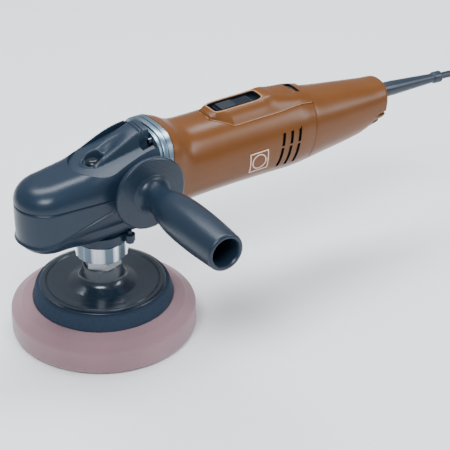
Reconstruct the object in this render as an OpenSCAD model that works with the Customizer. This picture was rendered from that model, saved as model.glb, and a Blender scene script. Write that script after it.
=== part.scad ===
// Right-angle rotary polisher, millimetres.
// The origin is the middle of the pad's working face, on the spindle axis.
// +Z runs up the spindle, +X runs from the gear head to the cord.

/* [Polishing pad] */
// Radius of the foam pad
pad_r = 80; // [66:1:100]
// Whole thickness of the foam pad
pad_h = 31; // [25:1:40]
// Height of the pad's upright wall, below the chamfer
pad_wall_h = 22.5; // [14:0.5:24]
// Radius of the pad's top, where its sloping shoulder begins
pad_top_r = 62; // [61.5:0.5:66]

/* [Backing plate] */
// Radius of the cushion ring where it meets the pad
cushion_r = 61; // [50:0.5:61]
// Radius of the cushion ring at its top
cushion_top_r = 57.5; // [48:0.5:58]
// Thickness of the cushion ring
cushion_h = 12; // [8:0.5:16]
// Thickness of the moulded plate
plate_h = 2.5; // [2:0.25:4]
// Radius of the groove round the plate
groove_r = 48.5; // [42:0.5:50]
// Radius of the hub's neck
hub_r = 17; // [14:0.5:20]
// Height of the hub above the plate
hub_h = 20; // [16:1:26]
// Width across the flats of the threaded insert
insert_flats = 29; // [24:0.5:29]
// How far the insert stands out of the hub
insert_proud = 9.6; // [8:0.2:12]

/* [Spindle] */
// Radius of the spindle's thread
thread_r = 7; // [5:0.5:8]
// Radius of the spindle inside its collar
spindle_r = 9; // [8:0.5:11]
// Radius of the bright collar
collar_r = 22.7; // [18:0.1:23]
// Height of the bright collar
collar_h = 17; // [12:0.5:20]
// Radius of the lower journal
lower_journal_r = 7.5; // [6:0.5:8]
// Radius of the upper journal
upper_journal_r = 4; // [3:0.5:5]
// Radial clearance of a shaft in a bearing or a bore
running_fit = 0.02; // [0.01:0.01:0.05]

/* [Bearings] */
// Outer radius of the lower spindle bearing
lower_bearing_r = 17.5; // [15:0.5:18]
// Width of the lower spindle bearing
lower_bearing_w = 11; // [9:1:11]
// Outer radius of the small bearings
small_bearing_r = 11; // [10:0.5:11]
// Width of the small bearings
small_bearing_w = 7; // [6:0.5:7]
// Outer radius of the countershaft's top bearing
top_bearing_r = 9.5; // [8:0.5:10]
// Width of the countershaft's top bearing
top_bearing_w = 6; // [5:0.5:6]
// Outer radius of the front motor bearing
front_bearing_r = 14; // [12:0.5:14]
// Width of the front motor bearing
front_bearing_w = 8; // [6:0.5:8]

/* [Gears] */
// Module of the spur pair
spur_module = 1.25; // [1:0.125:1.25]
// Teeth of the spindle gear
spindle_teeth = 36; // [34:2:38]
// Teeth of the countershaft pinion
counter_teeth = 24; // [22:2:24]
// Face width of the spindle gear
spur_w = 10; // [7:0.5:10]
// Module of the bevel pair at its large end
bevel_module = 1.5; // [1.25:0.25:1.5]
// Teeth of the bevel gear
bevel_teeth = 30; // [27:1:30]
// Teeth of the bevel pinion
pinion_teeth = 10; // [10:1:11]
// Face width of the bevel pair
bevel_w = 7; // [5:0.5:7]
// Thinning of each tooth, for backlash
backlash = 0.16; // [0.12:0.02:0.2]

/* [Gear head] */
// Height of the motor axis above the lower spindle bearing
motor_rise = 46.4; // [46.4:0.2:47.4]
// Distance from the spindle axis to the middle of the nose arc
nose_x = 49.3; // [47:0.5:56]
// Radius of the nose arc
nose_r = 28; // [27.5:0.5:32]
// Wall of the gear case and of the hood
case_t = 3.5; // [3:0.25:3.5]
// Radius of the round flange under the head
flange_r = 24; // [22:0.5:26]
// Radius of the circle that the flange screws stand on
flange_screw_pcr = 28; // [27:0.5:30]
// Half width of the opening in the hood
hood_cut_w = 28; // [24:0.5:29]
// Radius of the lock button
button_r = 5.6; // [4:0.2:6]
// Travel of the lock button
button_travel = 2.8; // [2:0.1:2.8]

/* [Motor housing] */
// Half width of the joint face between head and motor
joint_w = 37; // [36:0.5:40]
// Half height of the joint face
joint_h = 39.5; // [38:0.5:42]
// Thickness of the metal joint ring
ring_t = 13; // [10:0.5:15]
// Wall of the motor housing and of the rear cover
shell_t = 2.8; // [2.2:0.1:3]
// Rake of the joint faces, rise over run
rake = 0.2; // [0.1:0.01:0.22]
// Radius of the armature core
core_r = 21; // [19:0.5:21]
// Length of the armature core
core_l = 46; // [38:1:48]
// Air gap between armature and stator
air_gap = 0.6; // [0.4:0.1:1]
// Outer radius of the stator
stator_r = 30.2; // [28:0.2:30.2]
// Radius of the cooling fan
fan_r = 29; // [25:0.5:29.5]
// Radius of the commutator
commutator_r = 13; // [11:0.5:14]
// Width of a carbon brush, along the shaft
brush_w = 5; // [4:0.5:6]
// Height of a carbon brush
brush_h = 8; // [6:0.5:9]

/* [Controls] */
// Length of the opening for the slide switch
switch_l = 44; // [40:1:48]
// Width of the opening for the slide switch
switch_w = 16; // [14:0.5:18]
// Travel of the slide switch
switch_travel = 6; // [4:0.5:7]
// Radius of the speed dial
dial_r = 16.5; // [15:0.5:17]
// Width of the speed dial
dial_w = 7; // [5:0.5:8]

/* [Side handle] */
// Distance of the handle's axis behind the spindle axis
handle_x = 22; // [20:0.5:24]
// Height of the handle's axis above the motor axis
handle_rise = 7; // [5:0.5:9]
// Distance of the guard disc's face from the middle plane
guard_y = 43; // [42.5:0.5:46]
// Radius of the guard disc
guard_r = 32.5; // [28:0.5:36]
// Length of the handle from the guard disc's face to its end
handle_l = 115; // [95:1:138]
// Largest radius of the grip
grip_r = 18.2; // [16:0.2:20]
// Radius of the bore in the handle's end
handle_bore_r = 12; // [9:0.5:12.5]
// Radius of the handle's fixing stud
stud_r = 4; // [3:0.5:5]

/* [Cord] */
// Diameter of the cord
cord_d = 6.5; // [6.5:0.1:6.5]
// Length of the strain relief outside the cover
relief_l = 70; // [58:1:80]

/* [Hidden] */

// Heights up the spindle
plate_z = pad_h + cushion_h;
hub_top_z = plate_z + hub_h;
collar_z = hub_top_z + insert_proud;
collar_top_z = collar_z + collar_h;
flange_z = collar_top_z + 0.6;
lower_bearing_z = flange_z + 2.4;
motor_z = lower_bearing_z + motor_rise;
handle_z = motor_z + handle_rise;
case_floor_z = flange_z + 8;
case_in_z = case_floor_z + 4;
gear_z = lower_bearing_z + lower_bearing_w + 8.4;
gear_top_z = gear_z + spur_w;
upper_bearing_z = gear_top_z + 1.2;
bridge_top_z = upper_bearing_z + small_bearing_w;

// Gear geometry
centre_d = spur_module * (spindle_teeth + counter_teeth) / 2;
bevel_r = bevel_module * bevel_teeth / 2;
pinion_r = bevel_module * pinion_teeth / 2;
cone_d = sqrt(bevel_r * bevel_r + pinion_r * pinion_r);
pressure_angle = 20;
flank_steps = 5;

// Countershaft
counter_x = -centre_d;
counter_bearing_z = case_in_z + 0.5;
counter_pinion_z = gear_z - 0.5;
counter_hub_z = gear_top_z + 1.4;
counter_r = 5;
arm_z = motor_z + pinion_r + 2.5;
arm_t = 4;
top_bearing_z = arm_z + arm_t - 3.6 - top_bearing_w;
top_journal_r = 3;

// Motor axis stations, along X
pinion_x = counter_x + bevel_r;
pinion_front_x = pinion_x - bevel_w * bevel_r / cone_d;
lock_x = -5;
lock_ring_r = 8;
lock_hole_r = 2.6;
bridge_wall_x = 12;
front_bearing_x = 14;
core_x = 78;
core_end_x = core_x + core_l;
commutator_x = core_end_x + 13;
commutator_l = 16;
brush_x = commutator_x + commutator_l / 2;
rear_bearing_x = commutator_x + commutator_l + 7;
shaft_r = 6;
rear_journal_r = 3.5;

// Joint faces between the head, the ring, the housing and the rear cover
joint_zc = motor_z + 3.5;
ring_x = 35;
housing_x = ring_x + ring_t;
seam_x = 200;
rear_x = 297;
seam_z = motor_z + 2;
loft_n = 40;

// Cord
cord_r = cord_d / 2;
relief_x = 296;
relief_z = motor_z + 2.5;
relief_drop = 4;
coil_c = [516, -47.25];
coil_in_r = 24.5;
coil_out_r = 50.5;
coil_h = 4 * cord_d;
function relief_point(t) = [relief_x + t * cos(relief_drop), 0, relief_z - t * sin(relief_drop)];
// Inside the strain relief, down through the air, along the floor and into the coil's first turn
cord_route = concat([for (t = [-27:19:relief_l - 20]) relief_point(t)], [relief_point(relief_l)],
    [[379, 0, 135.4], [391, 0, 132.3], [402, 0, 127], [411.5, 0, 119.5], [419.5, 0, 110], [425.5, 0, 99],
    [430, 0, 87], [433.5, 0, 75], [436.5, 0, 63], [440, 0, 51], [445, 0, 39], [452, 0, 27.5], [461, 0, 17.5],
    [472, 0, 9.5], [484, 0, 4.8], [496, 0, cord_r], [508, -0.3, cord_r], [520, -1, cord_r]]);
// From the coil's top turn round and up into the plug
tail_route = [[532, -91.6, 22.8], [520, -95.5, 24], [508, -99, 28], [497, -100.5, 33], [487.5, -97, 38],
    [481.5, -89.5, 41.8], [479.2, -80, 43], [479, -70, 43]];
plug_at = [479, -80, 43];

// Colours
dark = [0.17, 0.21, 0.26];
brown = [0.62, 0.32, 0.12];
steel = [0.72, 0.74, 0.76];
bright = [0.86, 0.87, 0.9];
alloy = [0.62, 0.66, 0.7];
copper = [0.75, 0.42, 0.2];
carbon = [0.15, 0.15, 0.16];
mauve = [0.66, 0.5, 0.53];

eps = 0.01;

// ---------- shared geometry ----------

function sgn(v) = v < 0 ? -1 : 1;
function unit(v) = v / norm(v);

// Point i of n round a superellipse of half width a, half height b and exponent p
function superellipse(a, b, p, n) = [for (i = [0:n - 1]) let (t = 360 * i / n)
    [a * sgn(cos(t)) * pow(abs(cos(t)), 2 / p), b * sgn(sin(t)) * pow(abs(sin(t)), 2 / p)]];

// A ring of points in a raked plane across the motor axis
function section_ring(x, a, b, zc, p) =
    [for (q = superellipse(a, b, p, loft_n)) [x + rake * (zc + q[1] - motor_z), q[0], zc + q[1]]];

function middle(ring) = let (n = len(ring))
    [for (k = [0:2]) [for (q = ring) q[k]] * [for (i = [0:n - 1]) 1 / n]];

// A closed skin through rings of equal count, with fan caps.
// The rings turn anticlockwise when seen from the end that they advance to.
module skin(rings) {
    n = len(rings[0]);
    m = len(rings);
    points = concat([for (r = rings) each r], [middle(rings[0]), middle(rings[m - 1])]);
    side = [for (j = [0:m - 2], i = [0:n - 1]) let (k = (i + 1) % n)
        each [[j * n + i, (j + 1) * n + i, (j + 1) * n + k], [j * n + i, (j + 1) * n + k, j * n + k]]];
    first = [for (i = [0:n - 1]) [m * n, i, (i + 1) % n]];
    last = [for (i = [0:n - 1]) [m * n + 1, (m - 1) * n + (i + 1) % n, (m - 1) * n + i]];
    polyhedron(points, concat(side, first, last), convexity = 8);
}

// Parallel-transported normals along a path
function tangents(p) = [for (i = [0:len(p) - 1])
    unit(p[min(i + 1, len(p) - 1)] - p[max(i - 1, 0)])];
function carried(t, i = 0, n = undef) = i == len(t) ? [] :
    let (m = is_undef(n) ? unit(cross(t[0], [0.3, 1, 0.2])) : unit(n - (n * t[i]) * t[i]))
    concat([m], carried(t, i + 1, m));

// A round tube of radius r swept along the points of a path
module swept(path, r, sides) {
    t = tangents(path);
    n = carried(t);
    skin([for (i = [0:len(path) - 1]) let (b = cross(t[i], n[i]))
        [for (k = [0:sides - 1]) path[i] + r * (cos(360 * k / sides) * n[i] + sin(360 * k / sides) * b)]]);
}

module along_x(x, z = motor_z) { translate([x, 0, z]) rotate([0, 90, 0]) children(); }

// A washer-like ring from z up, bore b and radius r
module sleeve(z, h, b, r, fn = 96) {
    translate([0, 0, z]) difference() {
        cylinder(h = h, r = r, $fn = fn);
        translate([0, 0, -1]) cylinder(h = h + 2, r = b, $fn = fn);
    }
}

// A ball bearing's inner ring, outer ring and shields, from z up
module ball_bearing(z, w, b, r) {
    step = (r - b) / 3;
    sleeve(z, w, b, b + step);
    sleeve(z, w, r - step, r);
    sleeve(z + 0.5, w - 1, b + step, r - step);
}

// Half of an involute tooth: angle of the flank at radius q, from the tooth's middle
function inv_angle(rb, q) = let (a = acos(min(1, rb / q))) tan(a) * 180 / PI - a;
function flank_angle(m, z, q, thin) = let (rp = m * z / 2, rb = rp * cos(pressure_angle))
    90 / z + (inv_angle(rb, rp) - inv_angle(rb, max(q, rb))) - thin / rp * 90 / PI;
function flank(m, z, thin, out) = let (rp = m * z / 2, rb = rp * cos(pressure_angle), rr = rp - 1.25 * m,
        r0 = max(rr, rb), r1 = rp + out)
    concat(rb > rr ? [[rr, flank_angle(m, z, rb, thin)]] : [],
        [for (k = [0:flank_steps]) let (q = r0 + (r1 - r0) * k / flank_steps)
            [q, flank_angle(m, z, q, thin)]]);
// One tooth as radius and angle pairs, from its leading root to its trailing root
function tooth(m, z, thin, out) = let (f = flank(m, z, thin, out), n = len(f))
    concat([for (i = [0:n - 1]) [f[i][0], -f[i][1]]],
        [for (i = [0:n - 1]) [f[n - 1 - i][0], f[n - 1 - i][1]]]);

// A spur gear whose tooth 0 points along the angle turn
module spur_gear(m, z, w, bore, turn) {
    t = tooth(m, z, backlash, m);
    difference() {
        linear_extrude(height = w)
            polygon([for (i = [0:z - 1], q = t) let (a = turn + 360 * i / z + q[1]) q[0] * [cos(a), sin(a)]]);
        translate([0, 0, -1]) cylinder(h = w + 2, r = bore, $fn = 96);
    }
}

// The toothed ring of a straight bevel gear, on the back cone (Tredgold).
// Its apex is the origin and its body lies along +Z; tooth 0 points along the angle turn.
module bevel_ring(m, z, mate, w, turn) {
    r = m * z / 2;
    d = atan(z / mate);
    a = r / sin(d);
    t = tooth(m, z / cos(d), 1.5 * backlash, m);
    big = [for (i = [0:z - 1], q = t) let (s = turn + 360 * i / z + q[1] / cos(d))
        [q[0] * cos(d) * cos(s), q[0] * cos(d) * sin(s), a / cos(d) - q[0] * sin(d)]];
    k = (a - w) / a;
    skin([[for (p = big) k * p], big]);
}

// ---------- pad and backing plate ----------

module foam_pad() {
    edge = 4;
    color(mauve) rotate_extrude($fn = 128) difference() {
        union() {
            polygon([[0, 0], [pad_r - edge, 0], [pad_r, edge], [pad_r, pad_wall_h],
                [pad_r - 7, pad_wall_h + 0.47 * (pad_h - pad_wall_h)], [pad_top_r, pad_h], [0, pad_h]]);
            translate([pad_r - edge, edge]) intersection() {
                circle(r = edge, $fn = 64);
                translate([0, -edge]) square(edge);
            }
        }
        translate([-1, pad_h - 6]) square([13, 8]);
    }
}

module backing_cushion() {
    color(dark) rotate_extrude($fn = 128)
        polygon([[14, pad_h], [cushion_r, pad_h], [cushion_top_r, plate_z], [14, plate_z]]);
}

module backing_plate() {
    rim_r = cushion_top_r - 4;
    flare = 9;
    color(dark) rotate_extrude($fn = 128) difference() {
        union() {
            translate([thread_r + 4, plate_z]) square([rim_r - thread_r - 4, plate_h]);
            translate([thread_r + 4, plate_z]) square([hub_r - thread_r - 4, hub_h]);
            difference() {
                translate([hub_r - 1, plate_z + plate_h]) square([flare + 1, flare]);
                translate([hub_r + flare, plate_z + plate_h + flare]) circle(r = flare, $fn = 64);
            }
        }
        translate([groove_r - 0.75, plate_z + plate_h - 1]) square([1.5, 2]);
    }
}

module hub_insert() {
    insert_r = thread_r + 4;
    color(steel) difference() {
        union() {
            translate([0, 0, plate_z + 1]) cylinder(h = hub_h - 1, r = insert_r, $fn = 64);
            translate([0, 0, hub_top_z]) rotate(15)
                cylinder(h = insert_proud, r = insert_flats / sqrt(3), $fn = 6);
        }
        translate([0, 0, plate_z]) cylinder(h = hub_h + insert_proud + 3, r = thread_r, $fn = 96);
    }
}

// ---------- spindle ----------

module spindle() {
    color(steel) {
        translate([0, 0, plate_z + 4]) cylinder(h = collar_z - plate_z - 4, r = thread_r, $fn = 96);
        translate([0, 0, collar_z]) cylinder(h = lower_bearing_z - collar_z, r = spindle_r, $fn = 96);
        translate([0, 0, lower_bearing_z])
            cylinder(h = gear_top_z - lower_bearing_z, r = lower_journal_r, $fn = 96);
        translate([0, 0, gear_top_z])
            cylinder(h = bridge_top_z - gear_top_z - 0.2, r = upper_journal_r, $fn = 96);
    }
}

module spindle_collar() {
    bevel = 1.2;
    color(bright) rotate_extrude($fn = 128)
        polygon([[spindle_r, collar_z], [collar_r - bevel, collar_z], [collar_r, collar_z + bevel],
            [collar_r, collar_top_z - bevel], [collar_r - bevel, collar_top_z], [spindle_r, collar_top_z]]);
}

module spindle_gear() {
    hub_z = lower_bearing_z + lower_bearing_w + 0.4;
    color(steel) {
        translate([0, 0, gear_z]) spur_gear(spur_module, spindle_teeth, spur_w, lower_journal_r, 0);
        sleeve(hub_z, gear_z - hub_z, lower_journal_r, lower_journal_r + 4.5);
    }
}

module spindle_circlip() {
    color(carbon) difference() {
        sleeve(gear_top_z, 0.8, upper_journal_r, upper_journal_r + 2.5);
        translate([0, -1.5, gear_top_z - 1]) cube([10, 3, 3]);
    }
}

module lower_bearing() {
    color(steel) ball_bearing(lower_bearing_z + 0.1, lower_bearing_w - 0.1, lower_journal_r + running_fit,
        lower_bearing_r);
}

module upper_bearing() {
    color(steel) ball_bearing(upper_bearing_z, small_bearing_w, upper_journal_r + running_fit,
        small_bearing_r);
}

module at_flange_screws() {
    for (a = [-60, 60, 180]) rotate(a) translate([flange_screw_pcr, 0, 0]) children();
}

module bearing_flange() {
    seat_top_z = lower_bearing_z + lower_bearing_w;
    color(dark) difference() {
        union() {
            translate([0, 0, flange_z]) cylinder(h = case_floor_z - flange_z, r = flange_r, $fn = 96);
            translate([0, 0, case_floor_z])
                cylinder(h = seat_top_z - case_floor_z, r = flange_r - 2.5, $fn = 96);
            at_flange_screws() translate([0, 0, flange_z + 2.5])
                cylinder(h = case_floor_z - flange_z - 2.5, r = 4.6, $fn = 48);
        }
        translate([0, 0, lower_bearing_z]) cylinder(h = 20, r = lower_bearing_r, $fn = 96);
        translate([0, 0, flange_z - 1]) cylinder(h = 20, r = spindle_r + 1.5, $fn = 96);
        at_flange_screws() translate([0, 0, flange_z]) cylinder(h = 20, r = 2, $fn = 32);
    }
}

module flange_screws() {
    color(steel) at_flange_screws() translate([0, 0, flange_z]) {
        translate([0, 0, 2.5]) cylinder(h = 9, r = 2, $fn = 32);
        difference() {
            cylinder(h = 2.5, r = 3.6, $fn = 48);
            translate([0, 0, -1]) cylinder(h = 2.2, r = 1.6, $fn = 6);
        }
    }
}

// ---------- gear head ----------

nose_steps = 16;
joint_p = 3;
// Half width of the joint face at height z
function joint_half(z) = let (v = min(0.985, abs(z - joint_zc) / joint_h))
    joint_w * pow(1 - pow(v, joint_p), 1 / joint_p);

// A level outline of the head at height z, drawn in by inset at the nose, ending at x
function head_ring(z, inset, x, t = 0) = let (r = nose_r - inset - t, w = joint_half(z) - t)
    concat([for (k = [0:nose_steps]) let (a = -90 - 180 * k / nose_steps)
            [r * cos(a) - nose_x, r * sin(a), z]],
        [[x, w, z], [x, -w, z]]);
function head_end(z) = ring_x + rake * (z - motor_z);
// The outline's points run clockwise from above, so the skin is built from the top down
module head_skin(levels, t, lift) {
    skin([for (i = [len(levels) - 1:-1:0]) let (q = levels[i])
        head_ring(q[0], q[1], head_end(q[0]) + lift, t)]);
}

case_levels = [[case_floor_z, 12], [case_floor_z + 2.5, 7], [case_floor_z + 7, 3.2], [case_floor_z + 13, 1],
    [case_floor_z + 20, 0], [seam_z, 0]];
case_hollow = [[case_in_z, 11], [case_in_z + 2, 7], [case_in_z + 6, 3.2], [case_in_z + 11, 1],
    [case_in_z + 17, 0], [seam_z + 1, 0]];
hood_levels = [[seam_z, 0], [seam_z + 7, 0.8], [seam_z + 12, 3.5], [seam_z + 16, 8], [seam_z + 19, 16]];
hood_hollow = [[seam_z - 1, 0], [seam_z + 6, 0.8], [seam_z + 10, 3.5], [seam_z + 13, 7], [seam_z + 15.6, 14]];

module at_bridge_posts() {
    for (s = [-1, 1]) {
        translate([-20, s * 24, 0]) children();
        translate([27, s * 27, 0]) children();
    }
}

module gear_case() {
    color(dark) difference() {
        union() {
            difference() {
                head_skin(case_levels, 0, 0);
                head_skin(case_hollow, case_t, 1);
            }
            translate([counter_x, 0, case_in_z - 1])
                cylinder(h = small_bearing_w + 1.5, r = small_bearing_r + 2.5, $fn = 96);
            intersection() {
                at_bridge_posts() translate([0, 0, case_in_z - 2])
                    cylinder(h = upper_bearing_z - case_in_z + 2, r = 3.4, $fn = 48);
                head_skin(case_levels, 0.4, 0);
            }
            intersection() {
                at_joint_screws() translate([0, 0, -5]) cylinder(h = 6, r = 6, $fn = 48);
                head_skin(case_levels, 0.4, 0);
            }
        }
        translate([0, 0, case_floor_z - 2]) cylinder(h = 30, r = flange_r - 2.5, $fn = 96);
        translate([counter_x, 0, counter_bearing_z]) cylinder(h = 20, r = small_bearing_r, $fn = 96);
        at_flange_screws() translate([0, 0, case_floor_z - 1]) cylinder(h = 6, r = 2, $fn = 32);
        at_joint_screws() translate([0, 0, -6]) cylinder(h = 8, r = 2, $fn = 32);
        at_bridge_posts() translate([0, 0, upper_bearing_z - 9]) cylinder(h = 20, r = 1.6, $fn = 32);
        handle_socket_cuts();
        // turned out for the spindle gear
        translate([0, 0, gear_z - 1])
            cylinder(h = spur_w + 1, r = spur_module * (spindle_teeth / 2 + 1) + 0.8, $fn = 96);
    }
}

// The round socket that clears the handle bosses of the head
module handle_socket_cuts() {
    for (s = [-1, 1]) translate([handle_x, s * (guard_y + 20), handle_z]) rotate([s * 90, 0, 0])
        cylinder(h = 42, r = 10 + eps, $fn = 64);
}

module bearing_bore(x, w, r) { along_x(x) cylinder(h = w, r = r, $fn = 96); }

module gear_bridge() {
    plate_z0 = upper_bearing_z;
    wall_l = 12;
    wall_top = arm_z + arm_t;
    boss_in = 22;
    color(alloy) difference() {
        union() {
            difference() {
                translate([0, 0, plate_z0]) linear_extrude(height = small_bearing_w)
                    polygon([[-24, -26], [31.5, -30.4], [31.5, 30.4], [-24, 26]]);
                translate([counter_x, 0, plate_z0 - 1]) cylinder(h = 20, r = bevel_r + 2, $fn = 96);
            }
            translate([bridge_wall_x, -21, plate_z0]) cube([wall_l, 42, wall_top - plate_z0]);
            translate([counter_x, -11, arm_z]) cube([bridge_wall_x - counter_x + 1, 22, arm_t]);
            translate([counter_x, 0, top_bearing_z])
                cylinder(h = wall_top - top_bearing_z, r = top_bearing_r + 3, $fn = 96);
            // bosses that the side handle screws into
            for (s = [-1, 1]) translate([handle_x, s * boss_in, handle_z]) rotate([-s * 90, 0, 0])
                cylinder(h = guard_y - boss_in, r = 10, $fn = 64);
            for (s = [-1, 1]) translate([handle_x - 10, s > 0 ? 17 : -24, bridge_top_z - 1])
                cube([20, 7, wall_top - bridge_top_z + 1]);
        }
        translate([0, 0, plate_z0 - 1]) cylinder(h = small_bearing_w + 2, r = small_bearing_r, $fn = 96);
        bearing_bore(front_bearing_x, front_bearing_w, front_bearing_r);
        bearing_bore(bridge_wall_x - 2, wall_l + 4, shaft_r + 2.5);
        translate([counter_x, 0, top_bearing_z - 1])
            cylinder(h = top_bearing_w + 1, r = top_bearing_r, $fn = 96);
        translate([lock_x, 0, arm_z - 1]) cylinder(h = arm_t + 2, r = 2.2 + running_fit, $fn = 48);
        at_bridge_posts() translate([0, 0, plate_z0 - 1])
            cylinder(h = small_bearing_w + 2, r = 1.6, $fn = 32);
        for (s = [-1, 1]) translate([handle_x, s * (guard_y + 1), handle_z]) rotate([s * 90, 0, 0])
            cylinder(h = 19, r = stud_r, $fn = 64);
    }
}

module bridge_screws() {
    color(steel) at_bridge_posts() translate([0, 0, bridge_top_z]) {
        translate([0, 0, -small_bearing_w - 6]) cylinder(h = small_bearing_w + 6, r = 1.6, $fn = 32);
        difference() {
            cylinder(h = 2.4, r = 2.6, $fn = 48);
            translate([0, 0, 1]) cylinder(h = 3, r = 1.3, $fn = 6);
        }
    }
}

module counter_lower_bearing() {
    color(steel) translate([counter_x, 0, 0])
        ball_bearing(counter_bearing_z, small_bearing_w, 4 + running_fit, small_bearing_r);
}

module counter_top_bearing() {
    color(steel) translate([counter_x, 0, 0])
        ball_bearing(top_bearing_z, top_bearing_w, top_journal_r + running_fit, top_bearing_r);
}

module countershaft() {
    body_z = counter_bearing_z + small_bearing_w + 0.3;
    color(steel) translate([counter_x, 0, 0]) {
        translate([0, 0, counter_bearing_z]) cylinder(h = body_z - counter_bearing_z, r = 4, $fn = 96);
        translate([0, 0, body_z]) cylinder(h = top_bearing_z - 0.3 - body_z, r = counter_r, $fn = 96);
        translate([0, 0, top_bearing_z - 0.3]) cylinder(h = top_bearing_w, r = top_journal_r, $fn = 96);
        translate([0, 0, counter_pinion_z])
            spur_gear(spur_module, counter_teeth, spur_w + 1, counter_r - 0.5, 180 / counter_teeth);
    }
}

module bevel_gear() {
    color(steel) translate([counter_x, 0, 0]) difference() {
        union() {
            translate([0, 0, motor_z]) mirror([0, 0, 1])
                bevel_ring(bevel_module, bevel_teeth, pinion_teeth, bevel_w, 180 / bevel_teeth);
            translate([0, 0, counter_hub_z])
                cylinder(h = motor_z - pinion_r - counter_hub_z - 1.5, r = bevel_r - 4, $fn = 96);
        }
        translate([0, 0, counter_hub_z - 1]) cylinder(h = 40, r = counter_r, $fn = 96);
    }
}

// ---------- armature ----------

module bevel_pinion() {
    color(steel) difference() {
        union() {
            translate([counter_x, 0, motor_z]) rotate([0, 90, 0])
                bevel_ring(bevel_module, pinion_teeth, bevel_teeth, bevel_w, 0);
            bearing_bore(pinion_x, 2.2, pinion_r - 2);
        }
        bearing_bore(pinion_front_x - 4, 14, 3);
    }
}

module lock_ring() {
    color(steel) difference() {
        bearing_bore(lock_x - 4.5, 9, lock_ring_r);
        bearing_bore(lock_x - 6, 12, shaft_r);
        for (a = [0:90:359]) translate([lock_x, 0, motor_z]) rotate([a, 0, 0])
            cylinder(h = 12, r = lock_hole_r, $fn = 48);
    }
}

module armature_shaft() {
    body_x = pinion_x + 2.2;
    thin_x = front_bearing_x + front_bearing_w + 2;
    color(steel) {
        bearing_bore(pinion_front_x - 1, body_x - pinion_front_x + 2, 3);
        bearing_bore(body_x, thin_x - body_x, shaft_r);
        bearing_bore(thin_x - 1, rear_bearing_x - thin_x, 5);
        bearing_bore(rear_bearing_x - 2, 9, rear_journal_r);
    }
}

module front_motor_bearing() {
    color(steel) along_x(0)
        ball_bearing(front_bearing_x, front_bearing_w, shaft_r + running_fit, front_bearing_r);
}

module cooling_fan() {
    fan_x = 56;
    color(carbon) along_x(fan_x) {
        sleeve(0, 10, 5, 9);
        sleeve(0, 1.6, 9, fan_r);
        for (a = [0:30:359]) rotate(a) translate([10, 0, 1.6]) rotate(18) translate([0, -0.7, 0])
            cube([fan_r - 12, 1.4, 7.4]);
    }
}

module armature_core() {
    color(alloy) difference() {
        bearing_bore(core_x, core_l, core_r);
        bearing_bore(core_x - 1, core_l + 2, 5);
        for (a = [0:30:359]) translate([core_x - 1, 0, motor_z]) rotate([a, 0, 0])
            translate([0, core_r - 2, -0.9]) cube([core_l + 2, 4, 1.8]);
    }
}

module armature_windings() {
    color(copper) {
        along_x(core_x - 7.5) sleeve(0, 7.5, 8, core_r - 3);
        along_x(core_end_x) sleeve(0, 8, 8, core_r - 3);
    }
}

module commutator() {
    color(copper) difference() {
        union() {
            along_x(commutator_x) sleeve(0, commutator_l, 5, commutator_r);
            along_x(commutator_x - 3) sleeve(0, 3, 5, commutator_r + 1.6);
        }
        for (a = [0:15:359]) translate([commutator_x, 0, motor_z]) rotate([a, 0, 0])
            translate([-4, commutator_r + 0.2, -0.3]) cube([5, 3, 0.6]);
    }
}

module rear_motor_bearing() {
    color(steel) along_x(0)
        ball_bearing(rear_bearing_x, top_bearing_w, rear_journal_r + running_fit, top_bearing_r);
}

module bearing_cup() {
    color(carbon) along_x(rear_bearing_x) sleeve(0, top_bearing_w, top_bearing_r, top_bearing_r + 2);
}

brush_start = commutator_r + 0.05;
brush_l = 10.5;
holder_wall = 1.4;
module at_brushes() { for (s = [0, 1]) mirror([0, s, 0]) translate([brush_x, 0, motor_z]) children(); }

module brush_carrier() {
    ring_r = top_bearing_r + 5;
    reach = carrier_r;
    slot = 0.05;
    color(dark) difference() {
        intersection() {
            union() {
                along_x(rear_bearing_x) sleeve(0, top_bearing_w, top_bearing_r + 2, ring_r);
                for (s = [-1, 1]) translate([rear_bearing_x, s > 0 ? ring_r - 1 : -reach, motor_z - 5])
                    cube([top_bearing_w, reach - ring_r + 1, 10]);
                at_brushes() translate([-brush_w / 2 - holder_wall, commutator_r + 1.5,
                    -brush_h / 2 - holder_wall])
                    cube([brush_w + 2 * holder_wall, reach - commutator_r - 1.5, brush_h + 2 * holder_wall]);
                at_brushes() translate([0, reach - 4, -5]) cube([rear_bearing_x - brush_x + 1, 4, 10]);
            }
            bearing_bore(brush_x - 10, 40, carrier_r);
        }
        at_brushes() translate([-brush_w / 2 - slot, 0, -brush_h / 2 - slot])
            cube([brush_w + 2 * slot, reach - 1.6, brush_h + 2 * slot]);
    }
}

module one_brush() {
    color(carbon) translate([-brush_w / 2, brush_start, -brush_h / 2]) cube([brush_w, brush_l, brush_h]);
}
module brush_left() { translate([brush_x, 0, motor_z]) mirror([0, 1, 0]) one_brush(); }
module brush_right() { translate([brush_x, 0, motor_z]) one_brush(); }

// A closed coil spring from the origin up +Z
module coil_spring(r, wire, length, turns) {
    steps = 12;
    swept([for (k = [0:steps * turns]) let (a = 360 * k / steps)
        [r * cos(a), r * sin(a), wire + (length - 2 * wire) * k / (steps * turns)]], wire, 6);
}

module brush_springs() {
    color(steel) at_brushes() translate([0, brush_start + brush_l, 0]) rotate([-90, 0, 0])
        coil_spring(1.7, 0.3, carrier_r - 1.6 - brush_start - brush_l, 5);
}

module stator_core() {
    color(alloy) along_x(core_x) difference() {
        sleeve(0, core_l, core_r + air_gap, stator_r);
        for (s = [-1, 1]) translate([s * stator_r - 2, -50, -1]) cube([4, 100, core_l + 2]);
    }
}

module stator_windings() {
    color(copper) for (x = [core_x - 8, core_end_x]) for (a = [40, 220]) along_x(x) rotate(a)
        rotate_extrude(angle = 100, $fn = 96) translate([core_r + 1.5, 0]) square([6, 8]);
}

module air_baffle() {
    color(dark) along_x(baffle_x) sleeve(0, 1.4, fan_r - 8, stator_r);
}

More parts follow.
